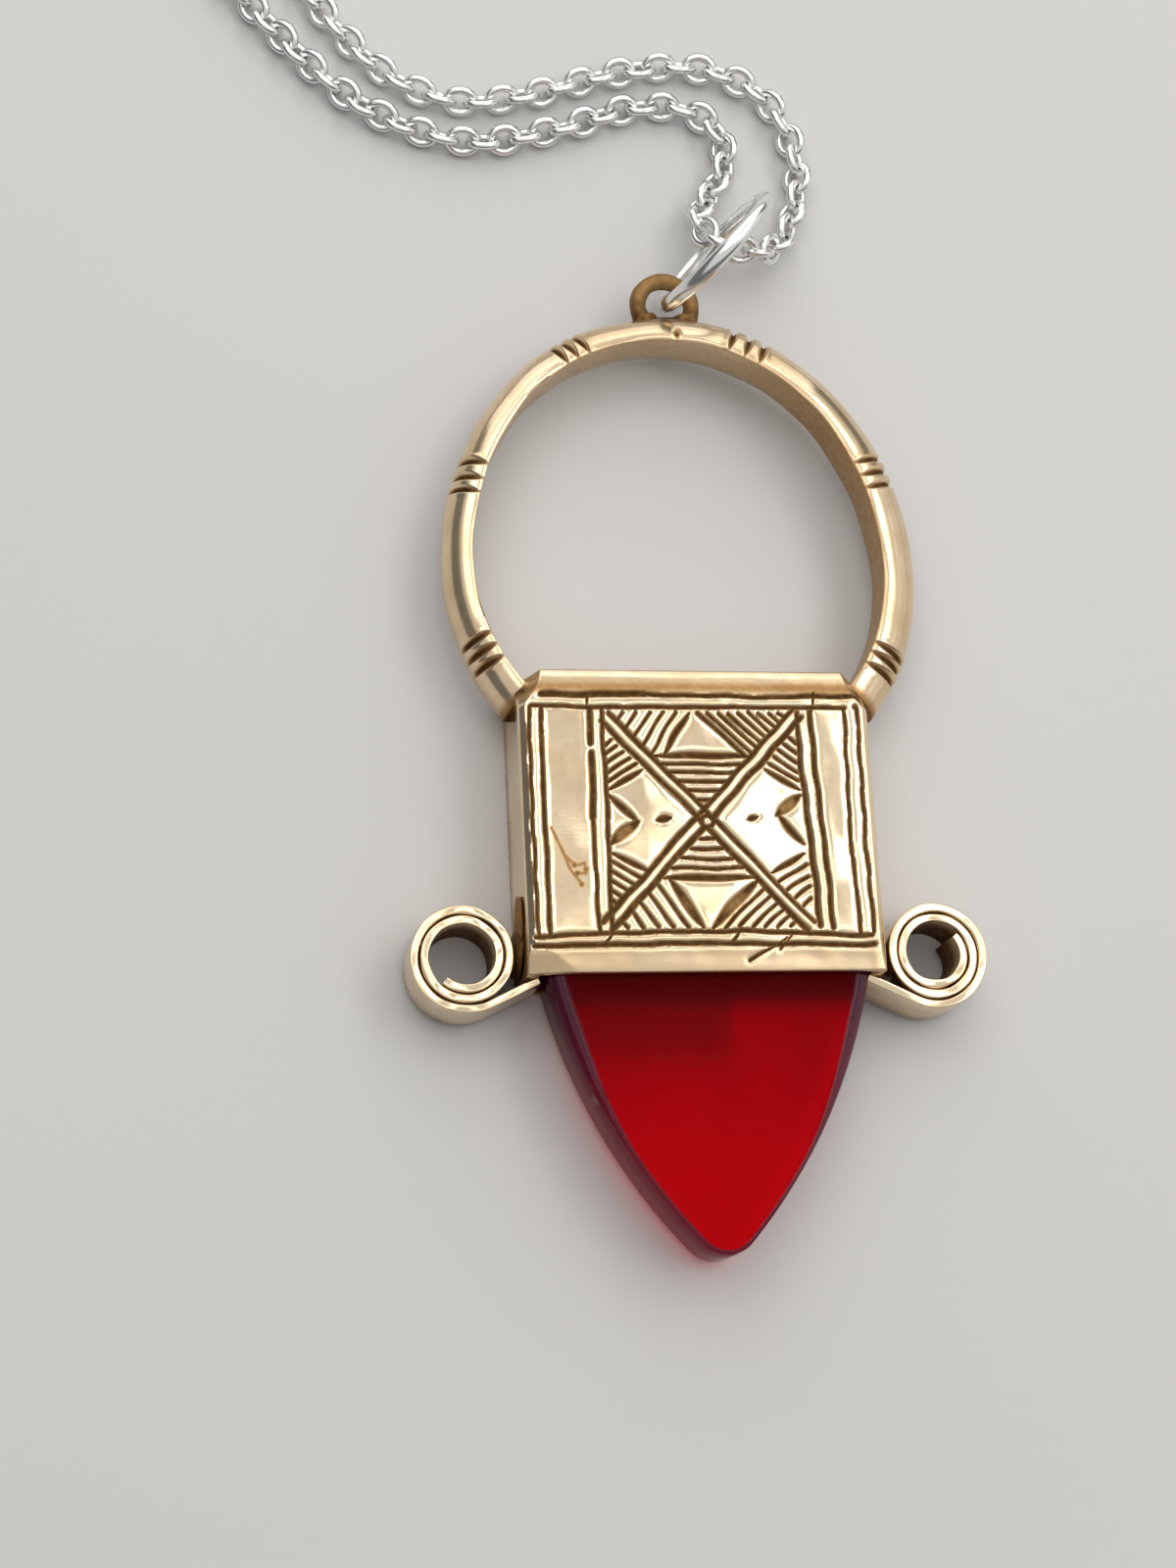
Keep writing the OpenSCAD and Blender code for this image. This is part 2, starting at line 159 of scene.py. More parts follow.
# Leaf-shaped cuts: start, end and half width
LEAVES = (
    ((-5.42, 1.5), (-3.84, 0.02), 0.29),
    ((-3.82, 0.0), (-5.4, -1.32), 0.43),
    ((5.95, 1.62), (4.45, 0.42), 0.46),
    ((4.52, 0.46), (6.05, -1.35), 0.27),
    ((-2.65, 0.08), (-1.8, 0.2), 0.3),
    ((2.72, 0.06), (3.3, 0.26), 0.24),
)
# Places where the graver slipped, and a stain with its blots
SLIPS = (
    ((2.3, -8.3), (4.6, -6.9), 0.14),
    ((4.1, -7.6), (5.1, -6.6), 0.1),
    ((7.2, 7.75), (7.0, 6.7), 0.12),
    ((-6.42, 7.6), (-6.5, 7.0), 0.14),
    ((-6.05, -7.2), (-5.55, -6.6), 0.13),
    ((1.35, -7.25), (1.95, -6.4), 0.16),
    ((10.0, 7.62), (10.4, 7.4), 0.2),
    ((9.75, 7.05), (9.85, 6.8), 0.24),
)
STAIN = ((-8.9, -0.4), (-8.3, -1.8), (-7.9, -2.9), (-7.3, -3.7))
STAIN_HOOK = ((-8.3, -1.9), (-7.6, -2.65), (-7.05, -2.5), (-7.0, -3.1), (-7.5, -3.1))
STAIN_HALVES = (0.13, 0.17)
STAIN_SHARE = 0.85
BLOTS = ((-7.65, -2.6), (-7.0, -2.85), (-7.3, -3.75), (-7.5, -3.1))
BLOT_R = 0.2

# Hoop, in millimetres and degrees: three tangent arcs on each side
HOOP_CENTRE = (0.3, 16.5, 2.75)
HOOP_RISE = 16.5
HOOP_HALF_D = 1.85
HOOP_T = 2.05
HOOP_T_GAIN = 0.32
HOOP_BACK_R = 1.1
HOOP_FRONT_R = 0.05
# Inner side of the hoop's section, from front to back: extra inwards, height and facing
HOOP_INSIDE = ((0.03, 1.79, 135), (0, 1.64, 180), (0, 0.9, 180), (0, 0.1, 180), (0, -0.75, 180))
BLEND = math.degrees(math.atan2(3, 4))
LEG_ANGLE = 40
HOOP_WEAR = 0.03
# A pit in the hoop's top: its angle, its facing, its reach in both and its depth
PIT = (88.7, 79, 0.9, 8, 0.12)
# Groups of three notches: the angle of the middle one, and how far apart they are
NOTCHES = ((-27, 0.76), (21, 0.87), (67.5, 1.0), (120, 0.78), (162.5, 0.95), (205, 0.8))
# A notch's least and greatest half width, the same for its dark core, how far it strays from
# its place, and how far the metal of its group stands proud
NOTCH_HALVES = (0.33, 0.39)
CORE_HALVES = (0.19, 0.23)
NOTCH_SHAKE = 0.06
NOTCH_BULGE = 0.05

# Lug and jump ring, in millimetres and degrees
LUG_CENTRE = (0.3, 34.05, 2.75)
LUG_R = 1.7
LUG_WIRE_R = 0.5
LUG_STEPS = 72
LUG_SIDES = 16
LUG_FEET = (222, 318)
RING_TURN = 50
RING_LEAN = 14
RING_CENTRE = (3.22, 36.84, 4.82)
RING_STEPS = 240
RING_SIDES = 22
RING_SEAM = 205
SEAM_DEPTH = 0.22

# Lumps of solder, in millimetres: middle, reach along X, Y and Z, and how brown they are
SOLDER_SIDES = 24
SOLDER_LEVELS = 15
SOLDER = (
    ((-0.95, 33.0, 2.75), (0.75, 0.5, 0.75), 0.8),
    ((1.5, 33.0, 2.75), (0.85, 0.5, 0.8), 0.75),
    ((0.4, 32.9, 2.75), (1.3, 0.35, 0.6), 0.95),
    ((-10.7, -7.1, 2.3), (0.35, 1.5, 2.0), 0.92),
    ((-10.62, -5.4, 3.2), (0.24, 1.6, 1.1), 0.7),
    ((10.65, -7.0, 2.2), (0.35, 1.3, 2.0), 0.9),
)

# Scrolls, in millimetres and degrees
SCROLL_X = 13.92
SCROLL_Y = -7.52
SCROLL_Z = 0.5
SCROLL_D = 3.5
SCROLL_STEP = 5.0
SCROLL_EDGE = 0.1
TAIL_ANGLE = 25
TAIL_L = 3.2
TAIL_STEPS = 6

# Drop, in millimetres
DROP_SHIFT = 0.2
DROP_Z = 0.7
DROP_T = 4.15
SIDE_R = 34.0
SIDE_X = 10.35 - 34.0
SIDE_Y = -1.2
TIP_R = 1.91
TIP_Y = -24.8
TANG_TOP = -2.0
# Levels of the drop from back to front: inset and fall in bevels, and how strongly the side and
# bevel take the painted dark purple reflection and the coat
DROP_LEVELS = (
    (0.35, 4.6, 0), (0.12, 4.5, 0), (0.02, 4.3, 0.1), (0.0, 4.0, 0.25), (0.0, 2.4, 0.3),
    (0.0, 0.62, 0.3), (0.05, 0.52, 0.6), (0.25, 0.3, 0.8), (0.5, 0.12, 0.8),
    (0.75, 0.03, 0.6), (0.9, 0.005, 0.2), (1.0, 0, 0.05), (1.15, 0, 0),
)
# Chips at the drop's edge: middle, reach and depth
CHIPS = (((-0.9, -23.2), 0.35, 0.12), ((1.3, -23.7), 0.25, 0.06), ((-6.6, -15.9), 0.3, 0.12))

# Route of the chain, in millimetres, as the solid's tube follows it; the first and the
# last point reach into the clasp's two rings
ROUTE = (
    (-61.6, 187.2, 1), (-75, 185, 1), (-86, 178, 1), (-94, 167, 1), (-98, 153, 1),
    (-97, 137, 1), (-91, 122, 1), (-81, 108, 1), (-68, 95, 1), (-54.5, 84, 1),
    (-42, 74, 1), (-32, 64, 1), (-24.5, 54.5, 1), (-18.5, 48.5, 1), (-12, 46, 1),
    (-6, 47, 1), (-1, 48.8, 1), (2.8, 49, 1), (5, 47.4, 1), (5.2, 45, 1),
    (4, 42.7, 1.3), (3, 40.7, 2.2), (3.3, 39, 3.2), (4.7, 38, 3.6), (6.4, 38, 3.1),
    (8, 39, 2), (9.2, 41, 1.2), (10, 43.8, 1), (9.8, 47, 1), (8.2, 50.1, 1),
    (5.2, 51.8, 1), (1.5, 52, 1), (-2.5, 51.1, 1), (-7, 49.6, 1), (-12, 48.8, 1),
    (-16.5, 50.6, 1), (-20.5, 55, 1), (-23.5, 61, 1), (-24, 69, 1), (-21.5, 81, 1),
    (-16, 95, 1), (-10, 110, 1), (-6, 126, 1), (-5, 143, 1), (-7.5, 159, 1),
    (-15, 173.5, 1), (-26, 182.5, 1), (-39, 187, 1), (-50.8, 187.4, 1),
)
ROUTE_STEPS = 10
CHAIN_DROP = 0.1
CLASP_CENTRE = (-55.8, 187.25, 0.7)
CLASP_R = 2.8
CLASP_WIRE_R = 0.7
EYE_CENTRE = (-60.4, 187.25, 0.7)
EYE_R = 0.95
EYE_WIRE_R = 0.35
END_RING_CENTRE = (-52.6, 187.3, 1.36)
END_RING_R = 1.45
END_RING_WIRE_R = 0.25
END_RING_LEAN = 50
# The clasp's trigger: its angle on the ring, how far it reaches out, and its radii
TRIGGER_ANGLE = 75
TRIGGER_REACH = (0.2, 1.25)
TRIGGER_RADII = (0.2, 0.2, 0.2, 0.22, 0.36, 0.42, 0.42, 0.34, 0.12)

# Camera: its lens and its place in millimetres, and the directions of its right, top and back
CAMERA_LENS = 63.0
CAMERA_SENSOR = 36.0
CAMERA_PLACE = (-36.06, -41.63, 154.61)
CAMERA_RIGHT = (0.98251, -0.04862, 0.17977)
CAMERA_TOP = (-0.00403, 0.95954, 0.28154)
CAMERA_BACK = (-0.18618, -0.27734, 0.94256)

# Soft lights, in metres and degrees: name, middle, width, length, tilts about X and Y, and
# brightness. Those that face down leave a dimmer opening where the case's flat front mirrors
# them, and no two that overlap lie in one plane, where they would hide each other in mirrors.
# LIGHT_WATTS is what a square metre of light gives at brightness 1.
LIGHTS = (
    ("Overhead", (0.125, 0.125, 0.5), 1.5, 1.5, (0, 0), 0.42),
    ("Right", (0.32, 0.175, 0.49), 0.28, 0.55, (0, 0), 1.7),
    ("Near", (0.0, 0.035, 0.48), 0.31, 0.11, (0, 0), 0.9),
    ("Left", (-0.17, 0.275, 0.49), 0.38, 0.35, (0, 0), 1.2),
    ("Back", (0.0, 0.62, 0.32), 0.9, 0.5, (-90, 0), 0.9),
    ("Side", (0.8, 0.1, 0.28), 0.5, 0.9, (0, 90), 0.5),
)
LIGHT_COLOUR = (1.0, 0.985, 0.955)
LIGHT_WATTS = 4.0
SKY_COLOUR = (0.93, 0.96, 1.0, 1.0)
FLOOR_Z = -0.00005


# Shapes
def smooth_step(low, high, value):
    """Share from 0 to 1 that eases in and out between low and high"""
    share = np.clip((value - low) / (high - low), 0, 1)
    return share * share * (3 - 2 * share)


def soft_min(a, b, radius):
    """The lower of two heights, rounded where they meet"""
    share = np.clip(0.5 + 0.5 * (b - a) / radius, 0, 1)
    return b * (1 - share) + a * share - radius * share * (1 - share)


def bell(*shares):
    """Smooth bump of height 1 that has mostly faded where any share passes 1"""
    return np.exp(-sum(share ** 2 for share in shares))


def ripple(x, y, period, seed):
    """A value that wanders between about -1 and 1 over the given period"""
    draw = random.Random(seed)
    total = 0
    for _ in range(5):
        turn = draw.uniform(0, 2 * math.pi)
        rate = draw.uniform(0.6, 1.6) * 2 * math.pi / period
        phase = draw.uniform(0, 2 * math.pi)
        total = total + np.sin(rate * (x * math.cos(turn) + y * math.sin(turn)) + phase)
    return total / 2.5


def grid_faces(rows, columns, wrap_rows=False, wrap_columns=False):
    """Four-sided faces of a grid of points, joined round where it wraps"""
    r = np.arange(rows if wrap_rows else rows - 1)
    c = np.arange(columns if wrap_columns else columns - 1)
    r, c = np.meshgrid(r, c, indexing="ij")
    r_next = (r + 1) % rows
    c_next = (c + 1) % columns
    corners = (
        r * columns + c, r * columns + c_next, r_next * columns + c_next, r_next * columns + c,
    )
    return np.stack(corners, -1).reshape(-1, 4).tolist()


class Shell:
    """Points, faces and a mark of tarnish and painted shade for each point, gathered from several
    patches
    """

    def __init__(self):
        self.points = []
        self.faces = []
        self.tarnish_and_shade = []
        self.count = 0

    def add(self, points, faces, tarnish_and_shade=0.0):
        """Points and faces, with one mark of tarnish and painted shade or one for each point"""
        points = np.asarray(points, float).reshape(-1, 3)
        self.points.append(points)
        self.faces += [[i + self.count for i in face] for face in faces]
        self.tarnish_and_shade.append(np.broadcast_to(np.asarray(tarnish_and_shade, float).reshape(-1), (len(points),)))
        self.count += len(points)

    def add_grid(self, points, tarnish_and_shade=0.0, wrap_rows=False, wrap_columns=False, capped=False):
        """A grid of points; capped also closes its first and its last row"""
        rows, columns = np.shape(points)[:2]
        faces = grid_faces(rows, columns, wrap_rows, wrap_columns)
        if capped:
            faces += [list(range(columns)), list(range((rows - 1) * columns, rows * columns))]
        self.add(points, faces, tarnish_and_shade)

    def add_sweep(self, path, side, up, section, tarnish_and_shade=0.0, closed=False):
        """A section of points, laid out along side and up, swept along a path"""
        shape = np.shape(path)
        path, side, up = (
            np.broadcast_to(np.asarray(item, float), shape)[:, None, :]
            for item in (path, side, up)
        )
        section = np.broadcast_to(np.asarray(section, float), (len(path), *np.shape(section)[-2:]))
        points = path + side * section[:, :, :1] + up * section[:, :, 1:]
        self.add_grid(points, tarnish_and_shade, wrap_rows=closed, wrap_columns=True, capped=not closed)

    def make(self, name, finish, sharp_angle=40):
        """A mesh object at the origin, in metres, with its faces outwards"""
        mesh = bpy.data.meshes.new(name)
        points = np.concatenate(self.points) * MM
        mesh.from_pydata(points.tolist(), [], self.faces)
        # This mark paints patina and tarnish, and also painted shade and painted dark reflections
        mark = mesh.attributes.new("tarnish_and_shade", "FLOAT", "POINT")
        mark.data.foreach_set("value", np.concatenate(self.tarnish_and_shade).astype(np.float32))
        work = bmesh.new()
        work.from_mesh(mesh)
        bmesh.ops.remove_doubles(work, verts=work.verts, dist=1e-7)
        bmesh.ops.recalc_face_normals(work, faces=work.faces)
        work.to_mesh(mesh)
        work.free()
        mesh.shade_smooth()
        mesh.set_sharp_from_angle(angle=math.radians(sharp_angle))
        mesh.materials.append(finish)
        piece = bpy.data.objects.new(name, mesh)
        bpy.context.scene.collection.objects.link(piece)
        return piece


def circle_section(radius, sides):
    """Round section as points"""
    turn = np.arange(sides) * 2 * math.pi / sides
    return np.stack([radius * np.cos(turn), radius * np.sin(turn)], -1)


def box_section(width, height, edge, lift):
    """Section of a flat strip with rounded edges, standing lift above the path"""
    sides = (
        ((1, 1, 0), [(share, 1) for share in (0.3, -0.3)]),
        ((-1, 1, 90), [(-1, share) for share in (0.6, 0.2, -0.2, -0.6)]),
        ((-1, -1, 180), [(share, -1) for share in (-0.3, 0.3)]),
        ((1, -1, 270), [(1, share) for share in (-0.6, -0.2, 0.2, 0.6)]),
    )
    points = []
    for (x, y, start), between in sides:
        for turn in np.radians([start, start + 30, start + 60, start + 90]):
            points.append((
                x * (width / 2 - edge) + edge * math.cos(turn),
                lift + y * (height / 2 - edge) + edge * math.sin(turn),
            ))
        points += [(a * width / 2, lift + b * height / 2) for a, b in between]
    return np.array(points)


def wire_ring(
    shell, centre, radius, wire_r, steps, sides,
    along=ALONG_X, across=ALONG_Y, swell=None, tarnish_and_shade=0.0,
):
    """A ring of round wire in the plane of two directions"""
    turn = np.arange(steps) * 2 * math.pi / steps
    out = np.cos(turn)[:, None] * np.array(along) + np.sin(turn)[:, None] * np.array(across)
    section = np.broadcast_to(circle_section(wire_r, sides), (steps, sides, 2))
    if swell is not None:
        section = section * swell(np.degrees(turn))[:, None, None]
    path = np.array(centre) + radius * out
    shell.add_sweep(path, out, np.cross(along, across), section, tarnish_and_shade, closed=True)


# Engraving
def stroke_depth(x, y, a, b, half_a, half_b, leaf=False):
    """Depth, darkness and worn shoulder, from 0 to 1, that a stroke from a to b gives a point"""
    run_x, run_y = b[0] - a[0], b[1] - a[1]
    length = math.hypot(run_x, run_y)
    t = np.clip(((x - a[0]) * run_x + (y - a[1]) * run_y) / length ** 2, 0, 1)
    away = np.hypot(x - a[0] - t * run_x, y - a[1] - t * run_y)
    half = half_a + (half_b - half_a) * t
    if leaf:
        half = half * np.sqrt(np.sin(math.pi * np.clip(t, 0.03, 0.97)))
    else:
        half = half * (0.92 + 0.08 * np.abs(np.sin(math.pi * t * length / 1.1)))
    share = away / half
    cut = np.clip(STEEPNESS * (1 - share), 0, 1)
    polished = smooth_step(0.3, 0.42, half) * (1 - smooth_step(0.3, 0.75, share))
    worn = np.clip(1 - (away - half) / SHOULDER, 0, 1) ** 2
    return cut, cut * (1 - 0.28 * polished), worn


def panel_strokes():
    """Strokes of the front as start, end, the two half widths and whether it is a leaf"""
    draw = random.Random(11)
    strokes = []

    def add(a, b, half, taper=1.0, leaf=False, shake=0.0):
        a = (a[0] + draw.uniform(-shake, shake), a[1] + draw.uniform(-shake, shake))
        b = (b[0] + draw.uniform(-shake, shake), b[1] + draw.uniform(-shake, shake))
        strokes.append((a, b, half, half * taper, leaf))

    for points, half in FRAME_LINES:
        for a, b in zip(points, points[1:]):
            add(a, b, half)
    for first, second, hand, offset, half_a, half_b in STRIP_LINES:
        a, b = PANEL_CORNERS[first], PANEL_CORNERS[second]
        shift = hand * offset / math.hypot(b[0] - a[0], b[1] - a[1])
        across = (shift * (a[1] - b[1]), shift * (b[0] - a[0]))
        start = (a[0] + across[0], a[1] + across[1])
        end = (b[0] + across[0], b[1] + across[1])
        add(start, end, half_a, half_b / half_a)

    def strip_x(y, up, right):
        """Where a crossed strip's edge stands at a height, inside the upper or lower sector"""
        corner = PANEL_CORNERS[(1 if right else 0) if up > 0 else (2 if right else 3)]
        slope = (corner[0] - CROSSING[0]) / abs(corner[1])
        return CROSSING[0] + slope * y + (-STRIP_ROOM if right else STRIP_ROOM)

    for up, levels in LEVEL_STROKES:
        for k, y in enumerate(levels):
            edge = y == max(levels)
            left, right = strip_x(y, up, False), strip_x(y, up, True)
            half = BASE_HALF if edge else LEVEL_HALF
            add((left, up * y), (right, up * y), half, leaf=edge, shake=0.03)
    for up, apex, base_y, halves in TRIANGLES:
        for right, base_x, count, edge_half, edge_leaf in halves:
            lean = (base_x - apex[0]) / (apex[1] - base_y)
            edge_at = strip_x(apex[1], up, right)
            for k in range(count):
                top_x = apex[0] + (edge_at - apex[0]) * (k + 0.35) / (count + 0.2)
                low_y = apex[1]
                while low_y > base_y + HATCH_ROOM:
                    x = top_x + lean * (apex[1] - low_y)
                    edge = strip_x(low_y, up, right)
                    if (x > edge) if right else (x < edge):
                        break
                    low_y -= HATCH_STEP
                low_x = top_x + lean * (apex[1] - low_y)
                start, end = (top_x, up * (apex[1] - 0.05)), (low_x, up * low_y)
                if k == 0:
                    add(start, end, edge_half, leaf=edge_leaf)
                else:
                    add(start, end, HATCH_HALF, 0.8, shake=0.04)
    for first_a, first_b, last_a, last_b, count in CORNERS:
        for k in range(count):
            t = k / (count - 1)
            a = tuple(p + (q - p) * t for p, q in zip(first_a, last_a))
            b = tuple(p + (q - p) * t for p, q in zip(first_b, last_b))
            last = k == count - 1
            add(a, b, 1.5 * HATCH_HALF if last else HATCH_HALF, 0.85, leaf=last, shake=0.03)
    for a, b, half in LEAVES:
        add(a, b, half, leaf=True)
    for a, b, half in SLIPS:
        add(a, b, half, 0.4)
    return strokes


def engraving(x, y, wobble):
    """Depth, darkness and worn shoulders of all strokes at the points of the front"""
    flat_x = (x + wobble * ripple(x, y, 3.0, 21)).reshape(-1)
    flat_y = (y + wobble * ripple(x, y, 3.2, 22)).reshape(-1)
    marks = np.zeros((3, len(flat_x)))
    for a, b, half_a, half_b, leaf in panel_strokes():
        room = max(half_a, half_b) + SHOULDER
        near = np.flatnonzero(
            (flat_x > min(a[0], b[0]) - room) & (flat_x < max(a[0], b[0]) + room)
            & (flat_y > min(a[1], b[1]) - room) & (flat_y < max(a[1], b[1]) + room)
        )
        shares = stroke_depth(flat_x[near], flat_y[near], a, b, half_a, half_b, leaf)
        marks[:, near] = np.maximum(marks[:, near], shares)
    away = np.hypot(flat_x - CROSSING[0], flat_y - CROSSING[1])
    ring = np.clip(STEEPNESS * (1 - np.abs(away - DOT_R) / DOT_HALF), 0, 1)
    marks[:2] = np.where(away < DOT_R, ring, np.maximum(marks[:2], ring))
    return marks.reshape(3, *x.shape)


def stain(x, y):
    """Brown stain beside the panel"""
    mark = np.zeros(x.shape)
    for line in (STAIN, STAIN_HOOK):
        for a, b in zip(line, line[1:]):
            mark = np.maximum(mark, 0.7 * stroke_depth(x, y, a, b, *STAIN_HALVES)[0])
    for blot_x, blot_y in BLOTS:
        mark = np.maximum(mark, bell((x - blot_x) / BLOT_R, (y - blot_y) / BLOT_R))
    return STAIN_SHARE * mark


def front_darkening(x, y):
    """A few random patches of thin tarnish, and the front painted darker along the foot, across the
    lip's middle (more towards the right) and at the lip's ends
    """
    patches = 0.02 * smooth_step(0.1, 0.9, ripple(x, y, 5.0, 41))
    foot = 0.14 * smooth_step(-7.4, -7.9, y)
    lip = (0.5 + 0.06 * smooth_step(2, 8, x)) * bell((y - 8.05) / 0.38)
    ends = 0.5 * bell((np.abs(x) - 10.2) / 0.4, (y - 8.2) / 0.6)
    return patches + foot + lip + ends


def leaning(x, y):
    """How far the kites, the low triangle and a patch of the right panel stand out of the front"""
    beside = np.abs(x - CROSSING[0]) - np.abs(y) / 1.07
    kite = smooth_step(0, 1.2, beside) * smooth_step(7.1, 6.1, np.abs(x))
    outer, inner, right = KITE_TILTS
    left_rise = (outer + inner * smooth_step(-3.6, -1.8, x)) * y
    kite_rise = np.where(x > CROSSING[0], right * (RIGHT_KITE_X - x), left_rise)
    point_x, point_y = POINT_MIDDLE
    point = smooth_step(0, 0.8, 0.75 * (y + 6.5) - np.abs(x - point_x))
    point = point * smooth_step(-3.2, -3.9, y)
    patch_x, patch_y = PATCH_MIDDLE
    patch = np.exp(-((x - patch_x) / PATCH_REACH[0]) ** 4 - ((y - patch_y) / PATCH_REACH[1]) ** 4)
    rise = kite_rise * kite + POINT_TILT * (y - point_y) * point
    return rise + PATCH_TILT * (patch_x - x) * patch


def front_height(x, y):
    """Height of the case's front before it is engraved"""
    away = np.abs(x)
    height = np.full(np.shape(x), CASE_D)
    lip = np.clip((y - LIP_Y) / (CASE_TOP - LIP_Y), 0, 1)
    foot = FOOT_Y - y
    planes = [
        CASE_D - LIP_FALLS[0] * lip - LIP_FALLS[1] * lip ** 3,
        CASE_D - FOOT_SLOPE * foot,
        CASE_D - (away - SIDE_EDGE),
        CASE_D - TOP_MITRE[1] * (away - TOP_MITRE[0]) - TOP_MITRE[2] * (y - LIP_Y),
    ]
    for hand, (start, across, down) in zip((-1, 1), LOW_MITRES):
        planes.append(CASE_D - across * (hand * x - start) - down * foot)
    for plane in planes:
        height = soft_min(height, plane, SOFT_BEND)
    for edge in (CASE_TOP - y, y - CASE_LOW, CASE_HALF_W - away):
        share = np.clip(1 - edge / ROLLED_EDGE, 0, 1)
        height = height - ROLLED_EDGE * (1 - np.sqrt(1 - share * share + 1e-9))
    inside = smooth_step(0, 1.2, CASE_HALF_W - away) * smooth_step(0, 1.2, CASE_TOP - np.abs(y))
    waves = sum(rise * ripple(x, y, period, seed) for rise, period, seed in WAVES) - WAVE_FALL
    return height + inside * waves + leaning(x, y)


def drawn(x, y, share):
    """Place along Y once the lip stands out and the foot is drawn in, by a share of the depth"""
    lip = np.clip((y - LIP_Y) / (CASE_TOP - LIP_Y), 0, 1) * smooth_step(9.9, 8.9, np.abs(x))
    foot = np.clip((FOOT_Y - y) / (FOOT_Y - CASE_LOW), 0, 1)
    return y + (LIP_REACH * lip + FOOT_RISE * foot) * share ** 2


def spaced(low, high, step):
    """Places from low to high, closer together at the rolled edges of both ends"""
    dense = 1.2 * ROLLED_EDGE
    edges = np.array([0, 0.15, 0.35, 0.6]) * dense
    inner = np.linspace(low + dense, high - dense, round((high - low - 2 * dense) / step) + 1)
    return np.concatenate([low + edges, inner, (high - edges)[::-1]])


def build_case(settings):
    """The sheet-silver case: front and side walls in one sheet, two ends and the hollow"""
    step = settings.grid_step / MM
    xs = spaced(-CASE_HALF_W, CASE_HALF_W, step)
    ys = spaced(CASE_LOW, CASE_TOP, step)
    shares = np.linspace(0, 1, WALL_STEPS + 1)
    x, y = np.meshgrid(xs, ys)
    cut, dark, worn = engraving(x, y, settings.wobble / MM)
    top = front_height(x, y) - settings.groove_depth / MM * cut - settings.wear / MM * worn
    shell = Shell()
    front = np.stack([x, drawn(x, y, 1.0), top], -1)
    shell.add_grid(front, np.clip(np.maximum(dark, stain(x, y)) + front_darkening(x, y), 0, 1))

    def wall(edge_x, edge_top, outwards):
        """A side wall that swells a little, painted darker along the floor and beside the scroll
        with tarnish and painted shade
        """
        rows = np.repeat(ys[:, None], WALL_STEPS + 1, 1)
        heights = shares * edge_top[:, None]
        swell = np.sin(math.pi * shares) * smooth_step(0, 0.8, CASE_TOP - np.abs(rows))
        bulge = outwards * WALL_BULGE * swell * ripple(rows, heights, 6.0, 51)
        # Tarnish and painted shade: darker along the floor and beside the scroll
        grime_and_shade = 0.5 * smooth_step(0.35, 0, shares) + 0.6 * smooth_step(-5.4, -6.6, rows)
        points = np.stack([edge_x + bulge, drawn(edge_x, rows, shares), heights], -1)
        shell.add_grid(points, np.clip(grime_and_shade * smooth_step(1.0, 0.93, shares), 0, 1))

    wall(-CASE_HALF_W, top[:, 0], -1)
    wall(CASE_HALF_W, top[:, -1], 1)
    rise = shares[:, None]
    end = np.stack(np.broadcast_arrays(xs, drawn(xs, CASE_TOP, rise), rise * top[-1]), -1)
    shell.add_grid(end, 0.25)

    add_mouth(shell, xs, top[0], shares)
    back = [(a, CASE_LOW, 0.0) for a in xs]
    back += [(CASE_HALF_W, b, 0.0) for b in ys[1:-1]]
    back += [(a, CASE_TOP, 0.0) for a in xs[::-1]]
    back += [(-CASE_HALF_W, b, 0.0) for b in ys[-2:0:-1]]
    shell.add(back, [list(range(len(back)))], 0.2)
    return shell


def add_mouth(shell, xs, low, shares):
    """The open lower end below the front's edge low: its rim and the hollow for the drop"""
    loop = [(a, drawn(a, CASE_LOW, 1.0), h) for a, h in zip(xs, low)]
    loop += [(CASE_HALF_W, drawn(CASE_HALF_W, CASE_LOW, s), s * low[-1]) for s in shares[-2:0:-1]]
    loop += [(a, CASE_LOW, 0.0) for a in xs[::-1]]
    loop += [(-CASE_HALF_W, drawn(CASE_HALF_W, CASE_LOW, s), s * low[0]) for s in shares[1:-1]]
    loop = np.array(loop)
    on_front = np.arange(len(loop)) < len(xs)
    share_z = np.where(on_front, 1.0, np.clip(loop[:, 2] / CASE_D, 0, 1))
    inner = loop * (HOLLOW_HALF_W / CASE_HALF_W, 1, 0)
    inner[:, 2] = HOLLOW_LOW_Z + share_z * (HOLLOW_HIGH_Z - HOLLOW_LOW_Z)
    rings = [loop, loop * 0.35 + inner * 0.65]
    rings += [inner + (0, depth, 0) for depth in MOUTH_DEPTHS]
    rings = np.array(rings)
    rings[-1, :, 1] = HOLLOW_TOP
    # Painted shade inside the mouth, darker on the deeper rings
    marks = np.repeat(np.array(MOUTH_SHADES)[:, None], len(loop), 1)
    shell.add_grid(rings, marks, wrap_columns=True)
    # The hollow's closed end, painted in full shade
    shell.add(rings[-1], [list(range(len(loop)))], 1.0)


# Hoop
def hoop_radii(width):
    """Radii of the hoop's low, side and top arcs, which meet without a corner"""
    low_r = width / 2
    turn = math.radians(BLEND)
    gap = (HOOP_RISE - low_r) / (math.cos(turn) + math.sin(turn) - 1)
    top_r = HOOP_RISE - gap * math.sin(turn)
    return low_r, top_r + gap, top_r


def hoop_place(angle, width):
    """Middle and radius of the arc that passes at an angle from the right"""
    low_r, side_r, top_r = hoop_radii(width)
    mirror = angle > 90
    turn = 180 - angle if mirror else angle
    if turn < 0:
        x, y, radius = 0.0, 0.0, low_r
    elif turn < BLEND:
        x, y, radius = low_r - side_r, 0.0, side_r
    else:
        x, y, radius = 0.0, HOOP_RISE - top_r, top_r
    return (-x if mirror else x), y, radius


